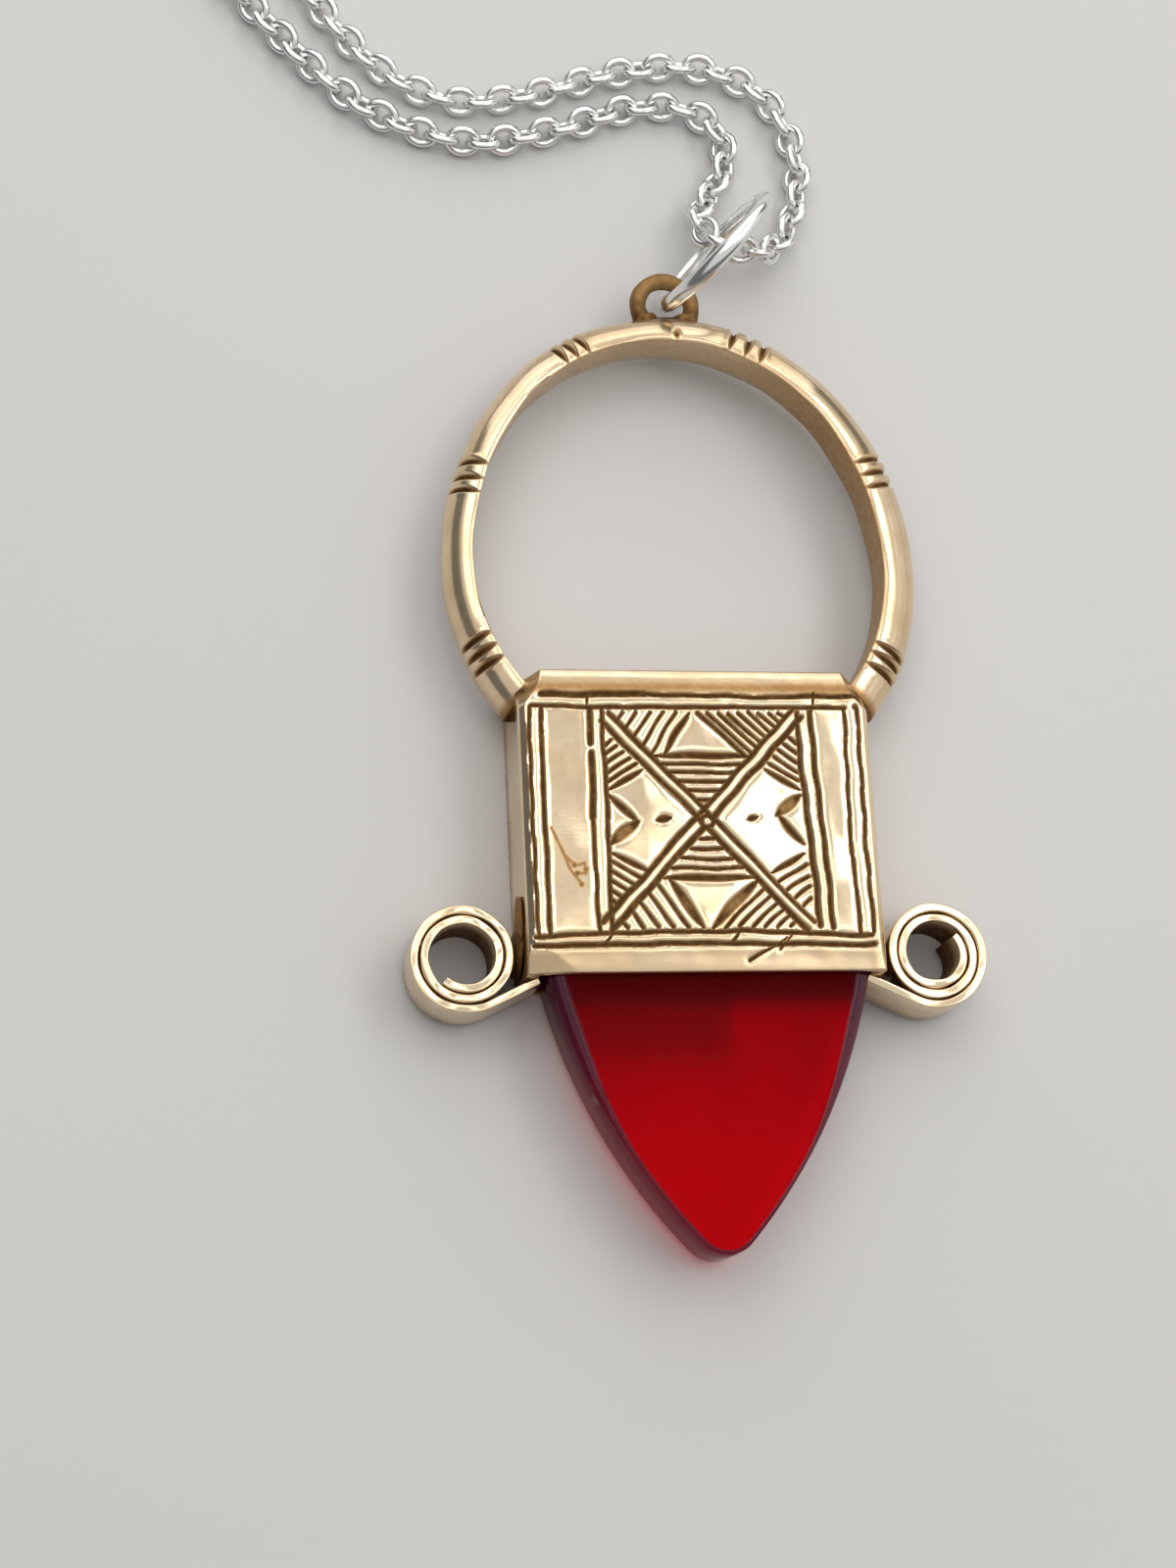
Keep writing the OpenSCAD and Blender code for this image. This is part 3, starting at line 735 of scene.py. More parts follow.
def hoop_crown(angle, width):
    """Point of the hoop's outer edge at an angle, seen from the front"""
    x, y, radius = hoop_place(angle, width)
    turn = math.radians(angle)
    x, y = HOOP_CENTRE[0] + x, HOOP_CENTRE[1] + y
    return x + radius * math.cos(turn), y + radius * math.sin(turn)


def hoop_angles():
    """Angles along the hoop, closer together at the notches"""
    angles = [-LEG_ANGLE]
    while angles[-1] < 180 + LEG_ANGLE:
        near = min(abs(angles[-1] - middle) for middle, _ in NOTCHES) < 7
        angles.append(angles[-1] + (0.14 if near else 0.5))
    angles[-1] = 180 + LEG_ANGLE
    return np.array(angles)


def hoop_section():
    """Half-round section: share of the thickness inwards, extra inwards, height and facing"""
    points = []
    for face in (*np.linspace(-86, 0, 12)[:-1], *np.linspace(0, 86, 17)):
        turn = math.radians(face)
        fall = 1 - math.cos(turn)
        spread = HOOP_BACK_R if face < 0 else HOOP_FRONT_R
        points.append((fall, spread * fall, HOOP_HALF_D * math.sin(turn), face))
    points += [(1, *place) for place in HOOP_INSIDE]
    for turn in np.radians([20, 40, 60, 80]):
        level = HOOP_BACK_R - HOOP_HALF_D - HOOP_BACK_R * math.sin(turn)
        points.append((1, HOOP_BACK_R * (1 - math.cos(turn)), level, 180 + math.degrees(turn)))
    return np.array(points).T


def build_hoop(settings):
    """The half-round wire, thicker at its right, with its filed notches"""
    width = settings.hoop_width / MM
    angles = hoop_angles()
    turn = np.radians(angles)
    out = np.stack([np.cos(turn), np.sin(turn), np.zeros(len(turn))], -1)
    crown = np.array([(*hoop_crown(angle, width), HOOP_CENTRE[2]) for angle in angles])
    thick = HOOP_T + HOOP_T_GAIN * np.cos(turn)
    inwards, extra, level, face = hoop_section()
    ring_r = extra - thick[:, None] * inwards
    plan = crown[:, None, :2] + out[:, None, :2] * ring_r[:, :, None]

    on_dome = face < 100
    lens = np.where(on_dome, np.sin(math.pi * np.clip((face + 8) / 96, 0, 1)), 0) ** 0.4
    deep, dark, bulge = np.zeros((3, *ring_r.shape))
    draw = random.Random(5)
    for middle, step in NOTCHES:
        heading = np.array([-math.sin(math.radians(middle)), math.cos(math.radians(middle))])
        along = (plan - np.array(hoop_crown(middle, width))) @ heading
        near = (np.abs(angles - middle) < 12)[:, None]
        for k in (-1, 0, 1):
            place = k * step + draw.uniform(-NOTCH_SHAKE, NOTCH_SHAKE)
            away = np.abs(along - place) / (lens + 1e-6)
            bowl = 0.5 + 0.5 * np.cos(math.pi * np.clip(away / draw.uniform(*NOTCH_HALVES), 0, 1))
            core = np.clip(STEEPNESS * (1 - away / draw.uniform(*CORE_HALVES)), 0, 1)
            deep = np.maximum(deep, np.where(near, bowl * lens, 0))
            dark = np.maximum(dark, np.where(near, core * lens, 0))
        bulge += np.where(near, smooth_step(1.7 * step, 1.2 * step, np.abs(along)) * lens, 0)
    pit_angle, pit_face, pit_reach, pit_spread, pit_depth = PIT
    pit = bell((angles - pit_angle)[:, None] / pit_reach, (face - pit_face) / pit_spread)
    wear = HOOP_WEAR * ripple(angles[:, None] * 0.25, face * 0.03, 5.0, 61)
    inward = settings.notch_depth / MM * deep + pit_depth * pit - NOTCH_BULGE * bulge - wear
    facing = np.radians(face)
    section = np.stack([ring_r - inward * np.cos(facing), level - inward * np.sin(facing)], -1)
    ends = smooth_step(3.0, 0.0, np.minimum(angles + LEG_ANGLE, 180 + LEG_ANGLE - angles))[:, None]
    # Painted shade on the wire's lower side, towards the floor
    painted_under_shade = 0.45 * smooth_step(-0.6, -1.8, level)
    right = smooth_step(80, 30, angles)[:, None]
    # Painted dark reflection on the inner side, stronger on the right
    inner = np.where(face > 130, 0.25 + 0.2 * right, 0)
    mark = np.clip(np.maximum(0.09 + dark + pit + 0.5 * ends + painted_under_shade, inner), 0, 1)
    shell = Shell()
    shell.add_sweep(crown, out, ALONG_Z, section, mark)
    return shell


def build_lug():
    """The wire loop on the hoop's top, thicker and browner at its two feet, darkened all over with
    patina and painted shade
    """
    def swell(degrees):
        feet = sum(bell((degrees - foot) / 22) for foot in LUG_FEET)
        return 1 + 0.25 * feet + 0.04 * np.sin(np.radians(degrees * 5))

    # Patina and painted shade over the whole loop, darkest along its lower part round the feet
    from_low = np.abs(np.arange(LUG_STEPS) * 360 / LUG_STEPS - 270)
    mark = np.repeat((0.68 + 0.3 * smooth_step(110, 50, from_low))[:, None], LUG_SIDES, 1)
    shell = Shell()
    wire_ring(shell, LUG_CENTRE, LUG_R, LUG_WIRE_R, LUG_STEPS, LUG_SIDES, swell=swell, tarnish_and_shade=mark)
    return shell


def build_solder():
    """Lumps of solder where the lug meets the hoop and the scrolls meet the case"""
    shell = Shell()
    sides = np.arange(SOLDER_SIDES) * 2 * math.pi / SOLDER_SIDES
    around, rise = np.meshgrid(sides, np.radians(np.linspace(-84, 84, SOLDER_LEVELS)))
    level = np.cos(rise)
    unit = np.stack([level * np.cos(around), level * np.sin(around), np.sin(rise)], -1)
    for seed, (centre, reach, brown) in enumerate(SOLDER):
        size = 1 + 0.09 * ripple(unit[..., 0] * 2 + unit[..., 2], unit[..., 1] * 2, 2.5, 90 + seed)
        points = np.array(centre) + unit * reach * size[..., None]
        shell.add_grid(points, brown, wrap_columns=True, capped=True)
    return shell


# Scrolls
def scroll_path(settings, turns, mirrored):
    """Middle line of a coiled strip from its tail's end to its blunt inner end"""
    strip_t = settings.strip_thickness / MM
    pitch = strip_t + settings.strip_gap / MM
    outer = settings.scroll_radius / MM - strip_t / 2
    points = [(TAIL_L * (1 - k / TAIL_STEPS), -outer) for k in range(TAIL_STEPS)]
    for degrees in np.arange(0, turns * 360 + 1, SCROLL_STEP):
        radius = outer - pitch * degrees / 360
        turn = math.radians(-90 - degrees)
        points.append((radius * math.cos(turn), radius * math.sin(turn)))
    lean = math.radians(TAIL_ANGLE)
    placed = []
    for a, b in points:
        x = a * math.cos(lean) - b * math.sin(lean) - SCROLL_X
        y = a * math.sin(lean) + b * math.cos(lean) + SCROLL_Y
        placed.append((-x if mirrored else x, y, SCROLL_Z))
    return np.array(placed)


def build_scroll(settings, turns, mirrored):
    """One coiled strip with its tail, as beaten silver: not quite even along its length"""
    path = scroll_path(settings, turns, mirrored)
    heading = np.gradient(path, axis=0)
    heading /= np.linalg.norm(heading, axis=1, keepdims=True)
    side = np.cross(heading, ALONG_Z)
    section = box_section(settings.strip_thickness / MM, SCROLL_D, SCROLL_EDGE, SCROLL_D / 2)
    across, level = section.T
    along = np.arange(len(path))[:, None]

    def uneven(share, rate, seed):
        """A change that wanders along the strip"""
        return share * ripple(along * rate, along * 0.0, 4.0, seed + mirrored)

    from_end = np.minimum(along, len(path) - 1 - along)
    blunt = 0.8 + 0.2 * smooth_step(0, 3, from_end + 1.2)
    below = SCROLL_D - level
    upper = below < 0.5
    beaten = (uneven(0.05, 0.2, 75) + uneven(0.22, 0.25, 77) * across) * upper
    sections = np.stack([across * (1 + uneven(0.06, 0.3, 71)) * blunt, level + beaten], -1)

    turned = (along - TAIL_STEPS) * SCROLL_STEP
    middle = np.array([SCROLL_X if mirrored else -SCROLL_X, SCROLL_Y, 0])
    inwards = np.sign((side * (middle - path)).sum(1))[:, None]
    facing_in = across * inwards > 0.1
    # Tarnish and painted shade: darker further below the top, most on the sides facing into the
    # coil and on the inner turns, and towards the floor
    painted_depth_shade = smooth_step(0.2, 1.2, below)
    grime_and_shade = painted_depth_shade * np.where(facing_in, 0.9, 0.7 * (turned > 360))
    mark = np.clip(grime_and_shade + 0.3 * smooth_step(2.2, 3.4, below), 0, 1)
    shell = Shell()
    shell.add_sweep(path, side, ALONG_Z, sections, mark)
    return shell


# Drop
def drop_half(inset):
    """Right half of the drop's outline, drawn in by inset, from the tang to the tip"""
    radius = SIDE_R - inset
    end_r = max(TIP_R - inset, 0.4)
    tip_cy = TIP_Y + TIP_R
    to_tip = math.atan2(tip_cy - SIDE_Y, -SIDE_X)
    mouth = -math.asin((SIDE_Y - CASE_LOW) / radius)
    tang_x = SIDE_X + radius * math.cos(mouth)
    points = [(tang_x, TANG_TOP - inset), (tang_x, -5.0), (tang_x, -8.0)]
    for k in range(61):
        turn = mouth + (to_tip - mouth) * k / 60
        points.append((SIDE_X + radius * math.cos(turn), SIDE_Y + radius * math.sin(turn)))
    for k in range(1, 17):
        turn = to_tip + (-math.pi / 2 - to_tip) * k / 16
        points.append((end_r * math.cos(turn), tip_cy + end_r * math.sin(turn)))
    return points


def drop_outline(inset):
    """The drop's whole outline, from the tang's left corner round the tip and back"""
    half = drop_half(inset)
    return np.array([(-x, y) for x, y in half] + half[-2::-1])


def build_drop(settings):
    """The polished glass drop: bevelled round the front, with small chips at its edge"""
    bevel = settings.bevel_width / MM
    outer, inner = drop_outline(0.0), drop_outline(bevel)
    narrowed = 0.3 + 0.7 * smooth_step(-20, -11, outer[:, 1])
    rings = []
    for inset, fall, _ in DROP_LEVELS:
        width = narrowed if fall < 1 else np.ones(len(outer))
        outline = outer + (inner - outer) * (inset * width)[:, None]
        high = DROP_Z + DROP_T - fall * bevel * width
        rings.append(np.column_stack([outline[:, 0] + DROP_SHIFT, outline[:, 1], high]))
    rings = np.array(rings)
    for (chip_x, chip_y), reach, deep in CHIPS:
        near = bell((rings[..., 0] - chip_x) / reach, (rings[..., 1] - chip_y) / reach)
        rings[..., 2] -= deep * near * smooth_step(DROP_Z + 1.2, DROP_Z + DROP_T, rings[..., 2])
    # Painted dark purple reflection and coat at the side and bevel, from the levels' last column
    marks = np.repeat(np.array(DROP_LEVELS)[:, 2:], len(outer), 1)
    shell = Shell()
    shell.add_grid(rings, marks, wrap_columns=True, capped=True)
    return shell


# Jump ring and clasp
def build_jump_ring(settings):
    """The open-air ring of round wire, with the seam where its ends meet"""
    turn, lean = math.radians(RING_TURN), math.radians(RING_LEAN)
    along = (math.cos(turn), math.sin(turn), 0)
    up = (math.sin(lean) * math.sin(turn), -math.sin(lean) * math.cos(turn), math.cos(lean))

    def swell(degrees):
        uneven = 1 + 0.03 * np.sin(np.radians(degrees * 3 + 40))
        return uneven - SEAM_DEPTH * bell((degrees - RING_SEAM) / 1.4)

    from_seam = np.arange(RING_STEPS) * 360 / RING_STEPS - RING_SEAM
    mark = np.repeat(0.9 * bell(from_seam / 1.6)[:, None], RING_SIDES, 1)
    shell = Shell()
    wire_ring(
        shell, RING_CENTRE, settings.ring_radius / MM, settings.ring_wire / MM,
        RING_STEPS, RING_SIDES, along, up, swell, mark,
    )
    return shell


def build_clasp():
    """Ring clasp: its ring with a trigger on it, its eye, and the chain's end ring"""
    shell = Shell()

    def barrel(degrees):
        return 1 - 0.16 * (smooth_step(20, 24, degrees) - smooth_step(150, 154, degrees))

    wire_ring(shell, CLASP_CENTRE, CLASP_R, CLASP_WIRE_R, 96, 18, swell=barrel)
    turn = math.radians(TRIGGER_ANGLE)
    reach = CLASP_R + np.linspace(*TRIGGER_REACH, len(TRIGGER_RADII))[:, None]
    path = np.array(CLASP_CENTRE) + reach * (math.cos(turn), math.sin(turn), 0)
    sections = np.array(TRIGGER_RADII)[:, None, None] * circle_section(1, 14)
    shell.add_sweep(path, (-math.sin(turn), math.cos(turn), 0), ALONG_Z, sections)
    wire_ring(shell, EYE_CENTRE, EYE_R, EYE_WIRE_R, 48, 14)
    lean = math.radians(END_RING_LEAN)
    across = (0, math.cos(lean), math.sin(lean))
    wire_ring(shell, END_RING_CENTRE, END_RING_R, END_RING_WIRE_R, 48, 12, across=across)
    return shell


# Chain
def bend(a, b, c, d, t):
    """Curve through four points, at t between the two middle ones"""
    squared = 2 * a - 5 * b + 4 * c - d
    cubed = 3 * b - a - 3 * c + d
    return 0.5 * (2 * b + (c - a) * t + squared * t * t + cubed * t ** 3)


def route_points():
    """Close points along the chain's middle, in metres, lowered so its links touch the floor"""
    route = np.array(ROUTE, float)
    route[:, 2] -= CHAIN_DROP
    padded = np.concatenate([[2 * route[0] - route[1]], route, [2 * route[-1] - route[-2]]])
    points = [
        bend(*padded[i:i + 4], k / ROUTE_STEPS)
        for i in range(len(route) - 1)
        for k in range(ROUTE_STEPS)
    ]
    return np.array(points + [route[-1]]) * MM


def route_curve(name):
    """The chain's middle as a curve object"""
    points = route_points()
    curve = bpy.data.curves.new(name, "CURVE")
    curve.dimensions = "3D"
    line = curve.splines.new("POLY")
    line.points.add(len(points) - 1)
    line.points.foreach_set("co", np.column_stack([points, np.ones(len(points))]).reshape(-1))
    piece = bpy.data.objects.new(name, curve)
    bpy.context.scene.collection.objects.link(piece)
    return piece


def link_tree():
    """Geometry Nodes that set oval wire links along a curve, each turned against the last"""
    tree = bpy.data.node_groups.new("Cable chain links", "GeometryNodeTree")
    tree.interface.new_socket("Geometry", in_out="INPUT", socket_type="NodeSocketGeometry")
    for name in ("Pitch", "Link length", "Link width", "Wire radius", "Roll", "Unevenness"):
        tree.interface.new_socket(name, in_out="INPUT", socket_type="NodeSocketFloat")
    tree.interface.new_socket("Material", in_out="INPUT", socket_type="NodeSocketMaterial")
    tree.interface.new_socket("Geometry", in_out="OUTPUT", socket_type="NodeSocketGeometry")

    def node(kind, settings=None, inputs=None):
        made = tree.nodes.new(kind)
        for name, value in (settings or {}).items():
            setattr(made, name, value)
        for key, value in (inputs or {}).items():
            if isinstance(value, bpy.types.NodeSocket):
                tree.links.new(value, made.inputs[key])
            else:
                made.inputs[key].default_value = value
        return made

    def maths(operation, a, b=0.0):
        return node("ShaderNodeMath", {"operation": operation}, {0: a, 1: b}).outputs[0]

    entry = node("NodeGroupInput").outputs
    steps = node(
        "GeometryNodeResampleCurve", {"mode": "LENGTH"},
        {"Curve": entry["Geometry"], "Length": entry["Pitch"]},
    )
    points = node("GeometryNodeCurveToPoints", {"mode": "EVALUATED"}, {"Curve": steps.outputs[0]})

    def circle(sides, radius):
        inputs = {"Resolution": sides, "Radius": radius}
        return node("GeometryNodeCurvePrimitiveCircle", {"mode": "RADIUS"}, inputs).outputs[0]

    half_l, half_w = (
        maths("SUBTRACT", maths("MULTIPLY", entry[name], 0.5), entry["Wire radius"])
        for name in ("Link length", "Link width")
    )
    size = node("ShaderNodeCombineXYZ", None, {0: half_l, 1: half_w, 2: 1.0})
    oval = node(
        "GeometryNodeTransform", None,
        {"Geometry": circle(16, 1.0), "Scale": size.outputs[0]},
    )
    link = node(
        "GeometryNodeCurveToMesh", None,
        {"Curve": oval.outputs[0], "Profile Curve": circle(6, entry["Wire radius"])},
    )

    def aligned(pivot, inputs):
        inputs = {"Vector": points.outputs["Tangent"], **inputs}
        settings = {"axis": "X", "pivot_axis": pivot}
        return node("FunctionNodeAlignRotationToVector", settings, inputs).outputs[0]

    pitched = aligned("Y", {"Rotation": aligned("Z", {})})
    index = node("GeometryNodeInputIndex").outputs[0]
    hand = maths("SUBTRACT", maths("MULTIPLY", maths("MODULO", index, 2.0), 2.0), 1.0)
    chance = node("FunctionNodeRandomValue", {"data_type": "FLOAT"}, {"Seed": 3})
    chance.inputs[2].default_value = -1.0
    chance.inputs[3].default_value = 1.0
    stray = maths("MULTIPLY", chance.outputs[1], entry["Unevenness"])
    roll = maths("ADD", maths("MULTIPLY", hand, entry["Roll"]), stray)
    turn = node("ShaderNodeCombineXYZ", None, {0: roll, 1: 0.0, 2: 0.0})
    euler = node("FunctionNodeEulerToRotation", None, {0: turn.outputs[0]})
    rolled = node(
        "FunctionNodeRotateRotation", {"rotation_space": "LOCAL"},
        {0: pitched, 1: euler.outputs[0]},
    )
    placed = node(
        "GeometryNodeInstanceOnPoints", None,
        {"Points": points.outputs[0], "Instance": link.outputs[0], "Rotation": rolled.outputs[0]},
    )
    solid = node("GeometryNodeRealizeInstances", None, {"Geometry": placed.outputs[0]})
    dressed = node(
        "GeometryNodeSetMaterial", None,
        {"Geometry": solid.outputs[0], "Material": entry["Material"]},
    )
    node("NodeGroupOutput", None, {0: dressed.outputs[0]})
    return tree


def apply_tree(piece, tree, values, name):
    """Runs a node tree on an object and keeps its result as a plain mesh object"""
    modifier = piece.modifiers.new("Links", "NODES")
    modifier.node_group = tree
    for item in tree.interface.items_tree:
        if item.item_type == "SOCKET" and item.in_out == "INPUT" and item.name in values:
            modifier[item.identifier] = values[item.name]
    made = piece.evaluated_get(bpy.context.evaluated_depsgraph_get())
    mesh = bpy.data.meshes.new_from_object(made)
    mesh.name = name
    mesh.shade_smooth()
    piece.modifiers.remove(modifier)
    bpy.data.objects.remove(piece)
    result = bpy.data.objects.new(name, mesh)
    bpy.context.scene.collection.objects.link(result)
    return result


# Finishes: a noise's scale is in waves a metre, and a bump's distance in metres
class Value:
    """A socket in a material, on which Python's operators add Math nodes"""

    def __init__(self, paint, output):
        self.paint = paint
        self.output = output

    def maths(self, operation, *values):
        return self.paint.node("ShaderNodeMath", {"operation": operation}, dict(enumerate(values)))

    def __add__(self, other):
        return self.maths("ADD", self, other)

    def __radd__(self, other):
        return self.maths("ADD", other, self)

    def __sub__(self, other):
        return self.maths("SUBTRACT", self, other)

    def __rsub__(self, other):
        return self.maths("SUBTRACT", other, self)

    def __mul__(self, other):
        return self.maths("MULTIPLY", self, other)

    def __rmul__(self, other):
        return self.maths("MULTIPLY", other, self)

    def clamp(self):
        return self.maths("MAXIMUM", self.maths("MINIMUM", self, 1.0), 0.0)


class Paint:
    """A new material and its nodes"""

    def __init__(self, name, **constants):
        self.material = bpy.data.materials.new(name)
        self.material.use_nodes = True
        self.tree = self.material.node_tree
        self.shader = self.tree.nodes["Principled BSDF"]
        for socket, value in constants.items():
            self.shader.inputs[socket.replace("_", " ")].default_value = value

    def node(self, kind, settings=None, inputs=None, output=0):
        """Any node: its settings first, then the values or links of its sockets"""
        made = self.tree.nodes.new(kind)
        for name, value in (settings or {}).items():
            setattr(made, name, value)
        for key, value in (inputs or {}).items():
            self.feed(made.inputs[key], value)
        return Value(self, made.outputs[output])

    def feed(self, socket, value):
        if isinstance(value, Value):
            self.tree.links.new(value.output, socket)
        else:
            socket.default_value = value

    def place(self):
        return self.node("ShaderNodeTexCoord", output="Object")

    def along(self, axis):
        """Place along one axis, in metres"""
        return self.node("ShaderNodeSeparateXYZ", None, {"Vector": self.place()}, output=axis)

    def stretched(self, x, y, z):
        inputs = {"Vector": self.place(), "Scale": (x, y, z)}
        return self.node("ShaderNodeMapping", {"vector_type": "POINT"}, inputs)

    def noise(self, scale, detail=3.0, roughness=0.5, vector=None):
        vector = vector or self.place()
        inputs = {"Vector": vector, "Scale": scale, "Detail": detail, "Roughness": roughness}
        return self.node("ShaderNodeTexNoise", {"noise_dimensions": "3D"}, inputs)

    def ease(self, value, low, high):
        """Share that eases from 0 at low to 1 at high"""
        inputs = {"Value": value, "From Min": low, "From Max": high, "To Min": 0.0, "To Max": 1.0}
        return self.node("ShaderNodeMapRange", {"interpolation_type": "SMOOTHSTEP"}, inputs)

    def mark(self, name):
        return self.node("ShaderNodeAttribute", {"attribute_name": name}, output="Fac")

    def blend(self, share, a, b):
        """Mix of two colours, each a setting or an earlier mix"""
        a, b = (item if isinstance(item, Value) else (*item[:3], 1.0) for item in (a, b))
        settings = {"data_type": "RGBA", "clamp_factor": True}
        return self.node("ShaderNodeMix", settings, {0: share, 6: a, 7: b}, output=2)

    def bump(self, height, strength, distance):
        inputs = {"Strength": strength, "Distance": distance, "Height": height}
        return self.node("ShaderNodeBump", None, inputs)

    def put(self, **links):
        """Feeds the shader's sockets and gives the finished material"""
        for socket, value in links.items():
            self.feed(self.shader.inputs[socket.replace("_", " ")], value)
        return self.material


def aged_silver(settings):
    """Warm hand-worked silver: brown in its cuts and wherever its mark paints shade, uneven and
    finely scratched between them
    """
    paint = Paint("Aged silver", Specular_IOR_Level=0.1)
    tarnish_and_shade = paint.mark("tarnish_and_shade")
    broad = paint.ease(paint.noise(260.0, 3.0, 0.55), 0.36, 0.68)
    fine = paint.noise(2600.0, 3.0, 0.6)
    scratch = paint.noise(900.0, 4.0, 0.65, paint.stretched(0.35, 3.2, 1.0))
    cloud = paint.ease(paint.noise(700.0, 4.0, 0.62), 0.42, 0.75)
    # Share of patina and tarnish, and of painted shade, taken from the points' mark
    tarnish_and_shade_share = (tarnish_and_shade * (0.75 + 0.5 * fine)).clamp()
    tone = paint.blend(broad, settings.silver_warm, settings.silver_shade)
    tone = paint.blend(cloud * 0.25, tone, settings.silver_tan)
    tone = paint.blend(2.0 * tarnish_and_shade_share, tone, settings.film_and_shade)
    tone = paint.blend(2.0 * tarnish_and_shade_share - 1.0, tone, settings.patina_and_shade)
    rough = 0.09 + 0.06 * broad + 0.08 * fine + 0.45 * tarnish_and_shade_share
    bump = paint.bump(scratch + 0.6 * fine, 0.14, 0.00002)
    return paint.put(Base_Color=tone, Roughness=rough, Metallic=1.0 - 0.75 * tarnish_and_shade_share, Normal=bump)


def bright_silver(settings):
    """Machine-made silver wire: white and polished, with faint wear"""
    paint = Paint("Bright silver", Metallic=1.0)
    tarnish_and_shade = paint.mark("tarnish_and_shade")
    broad = paint.noise(900.0, 3.0, 0.5)
    fine = paint.noise(5000.0, 2.0, 0.5)
    tone = paint.blend(broad, settings.silver_bright, settings.silver_cool)
    tone = paint.blend(tarnish_and_shade, tone, settings.patina_and_shade)
    rough = 0.1 + 0.12 * broad + 0.06 * fine + 0.3 * tarnish_and_shade
    bump = paint.bump(fine, 0.12, 0.00001)
    return paint.put(Base_Color=tone, Roughness=rough, Normal=bump)


def red_glass(settings):
    """Deep red glass with painted light and shade: a painted shadow below the case's mouth, a
    painted dark reflection at its upper left, a painted glow near the tip and a painted dark purple
    reflection on its side and bevel, where it is also glossy
    """
    paint = Paint(
        "Red glass", Transmission_Weight=0.7, IOR=1.1, Specular_IOR_Level=0.1, Coat_Roughness=0.04,
    )
    across, height = paint.along("X"), paint.along("Y")
    swirl = paint.ease(paint.noise(160.0, 3.0, 0.6, paint.stretched(1.0, 0.35, 1.0)), 0.3, 0.75)
    tone = paint.blend(swirl * 0.5, settings.glass, settings.glass_deep)
    # Painted light: the red glows brighter towards the tip
    tone = paint.blend(paint.ease(height, -0.012, -0.021), tone, settings.glass_painted_glow)
    # Painted dark reflection over the upper left of the drop
    shade = paint.ease(across, 0.0016, 0.0008) * paint.ease(height, -0.0152, -0.0118)
    tone = paint.blend(shade * 0.55, tone, settings.glass_painted_shade)
    # Painted shadow of the case in a band just below its mouth
    tone = paint.blend(paint.ease(height, -0.0112, -0.0100), tone, settings.glass_painted_shade)
    edge = paint.mark("tarnish_and_shade")
    # Painted dark purple reflection on the drop's side and bevel
    tone = paint.blend(paint.ease(edge, 0.05, 0.3), tone, settings.glass_edge_reflection)
    rub = paint.noise(1500.0, 3.0, 0.6)
    bump = paint.bump(rub, 0.05, 0.00001)
    return paint.put(Base_Color=tone, Roughness=0.02 + 0.05 * rub, Coat_Weight=edge, Normal=bump)


def pale_floor(settings):
    """Smooth pale board with a barely visible unevenness"""
    paint = Paint("Pale floor")
    soft = paint.noise(18.0, 2.0, 0.5)
    grain = paint.noise(900.0, 2.0, 0.5)
    tone = paint.blend(soft, settings.floor_colour, settings.floor_shade)
    bump = paint.bump(grain, 0.04, 0.00002)
    return paint.put(Base_Color=tone, Roughness=0.5 + 0.1 * grain, Normal=bump)


def dress(piece, slot, *nodes):
    """Hands a finished piece to the frame"""
    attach(piece, BODY)
    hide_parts(*nodes)


# Settings
def number_setting(name, description, default, least, most, **kind):
    return bpy.props.FloatProperty(
        name=name, description=description, default=default, min=least, max=most, **kind,
    )


def length_setting(name, description, *sizes):
    """A length that is given in millimetres and kept in metres"""
    sizes = [size * MM for size in sizes]
    return number_setting(name, description, *sizes, precision=5, subtype="DISTANCE", unit="LENGTH")


def angle_setting(*words_and_angles):
    return number_setting(*words_and_angles, subtype="ANGLE", unit="ROTATION")


def colour_setting(name, description, default):
    return bpy.props.FloatVectorProperty(
        name=name, description=description, default=default, min=0.0, max=1.0,
        size=3, subtype="COLOR",
    )


def group_setting(kind, name, description):
    return bpy.props.PointerProperty(type=kind, name=name, description=description)


class NecklaceFinishSettings(bpy.types.PropertyGroup):
    """Colours of the metals and the glass"""
    silver_warm: colour_setting("Warm silver", "Main colour of worked silver", (0.94, 0.76, 0.53))
    silver_shade: colour_setting("Silver shade", "Its duller places", (0.82, 0.63, 0.4))
    silver_tan: colour_setting("Tan tarnish", "Thin tarnish on worked silver", (0.62, 0.45, 0.27))
    # The brown film and the patina colours also paint the shade that the points' mark asks for
    film_and_shade: colour_setting("Brown film", "Thin brown beside the cuts", (0.4, 0.23, 0.09))
    patina_and_shade: colour_setting("Patina", "Brown in the cuts and corners", (0.078, 0.034, 0.007))
    silver_bright: colour_setting("Bright silver", "Main colour of the chain", (0.94, 0.93, 0.9))
    silver_cool: colour_setting("Cool silver", "Duller places of the chain", (0.76, 0.76, 0.76))
    glass: colour_setting("Red glass", "Main colour of the drop", (0.7, 0.0, 0.005))
    glass_deep: colour_setting("Deep red", "Darker swirls in the drop", (0.5, 0.0, 0.006))
    glass_painted_glow: colour_setting("Bright red", "The drop near its tip", (0.8, 0.0, 0.005))
    glass_edge_reflection: colour_setting("Red edge", "The drop's side and bevel", (0.16, 0.008, 0.05))
    glass_painted_shade: colour_setting("Dark red", "The drop at the case's mouth", (0.22, 0.003, 0.006))


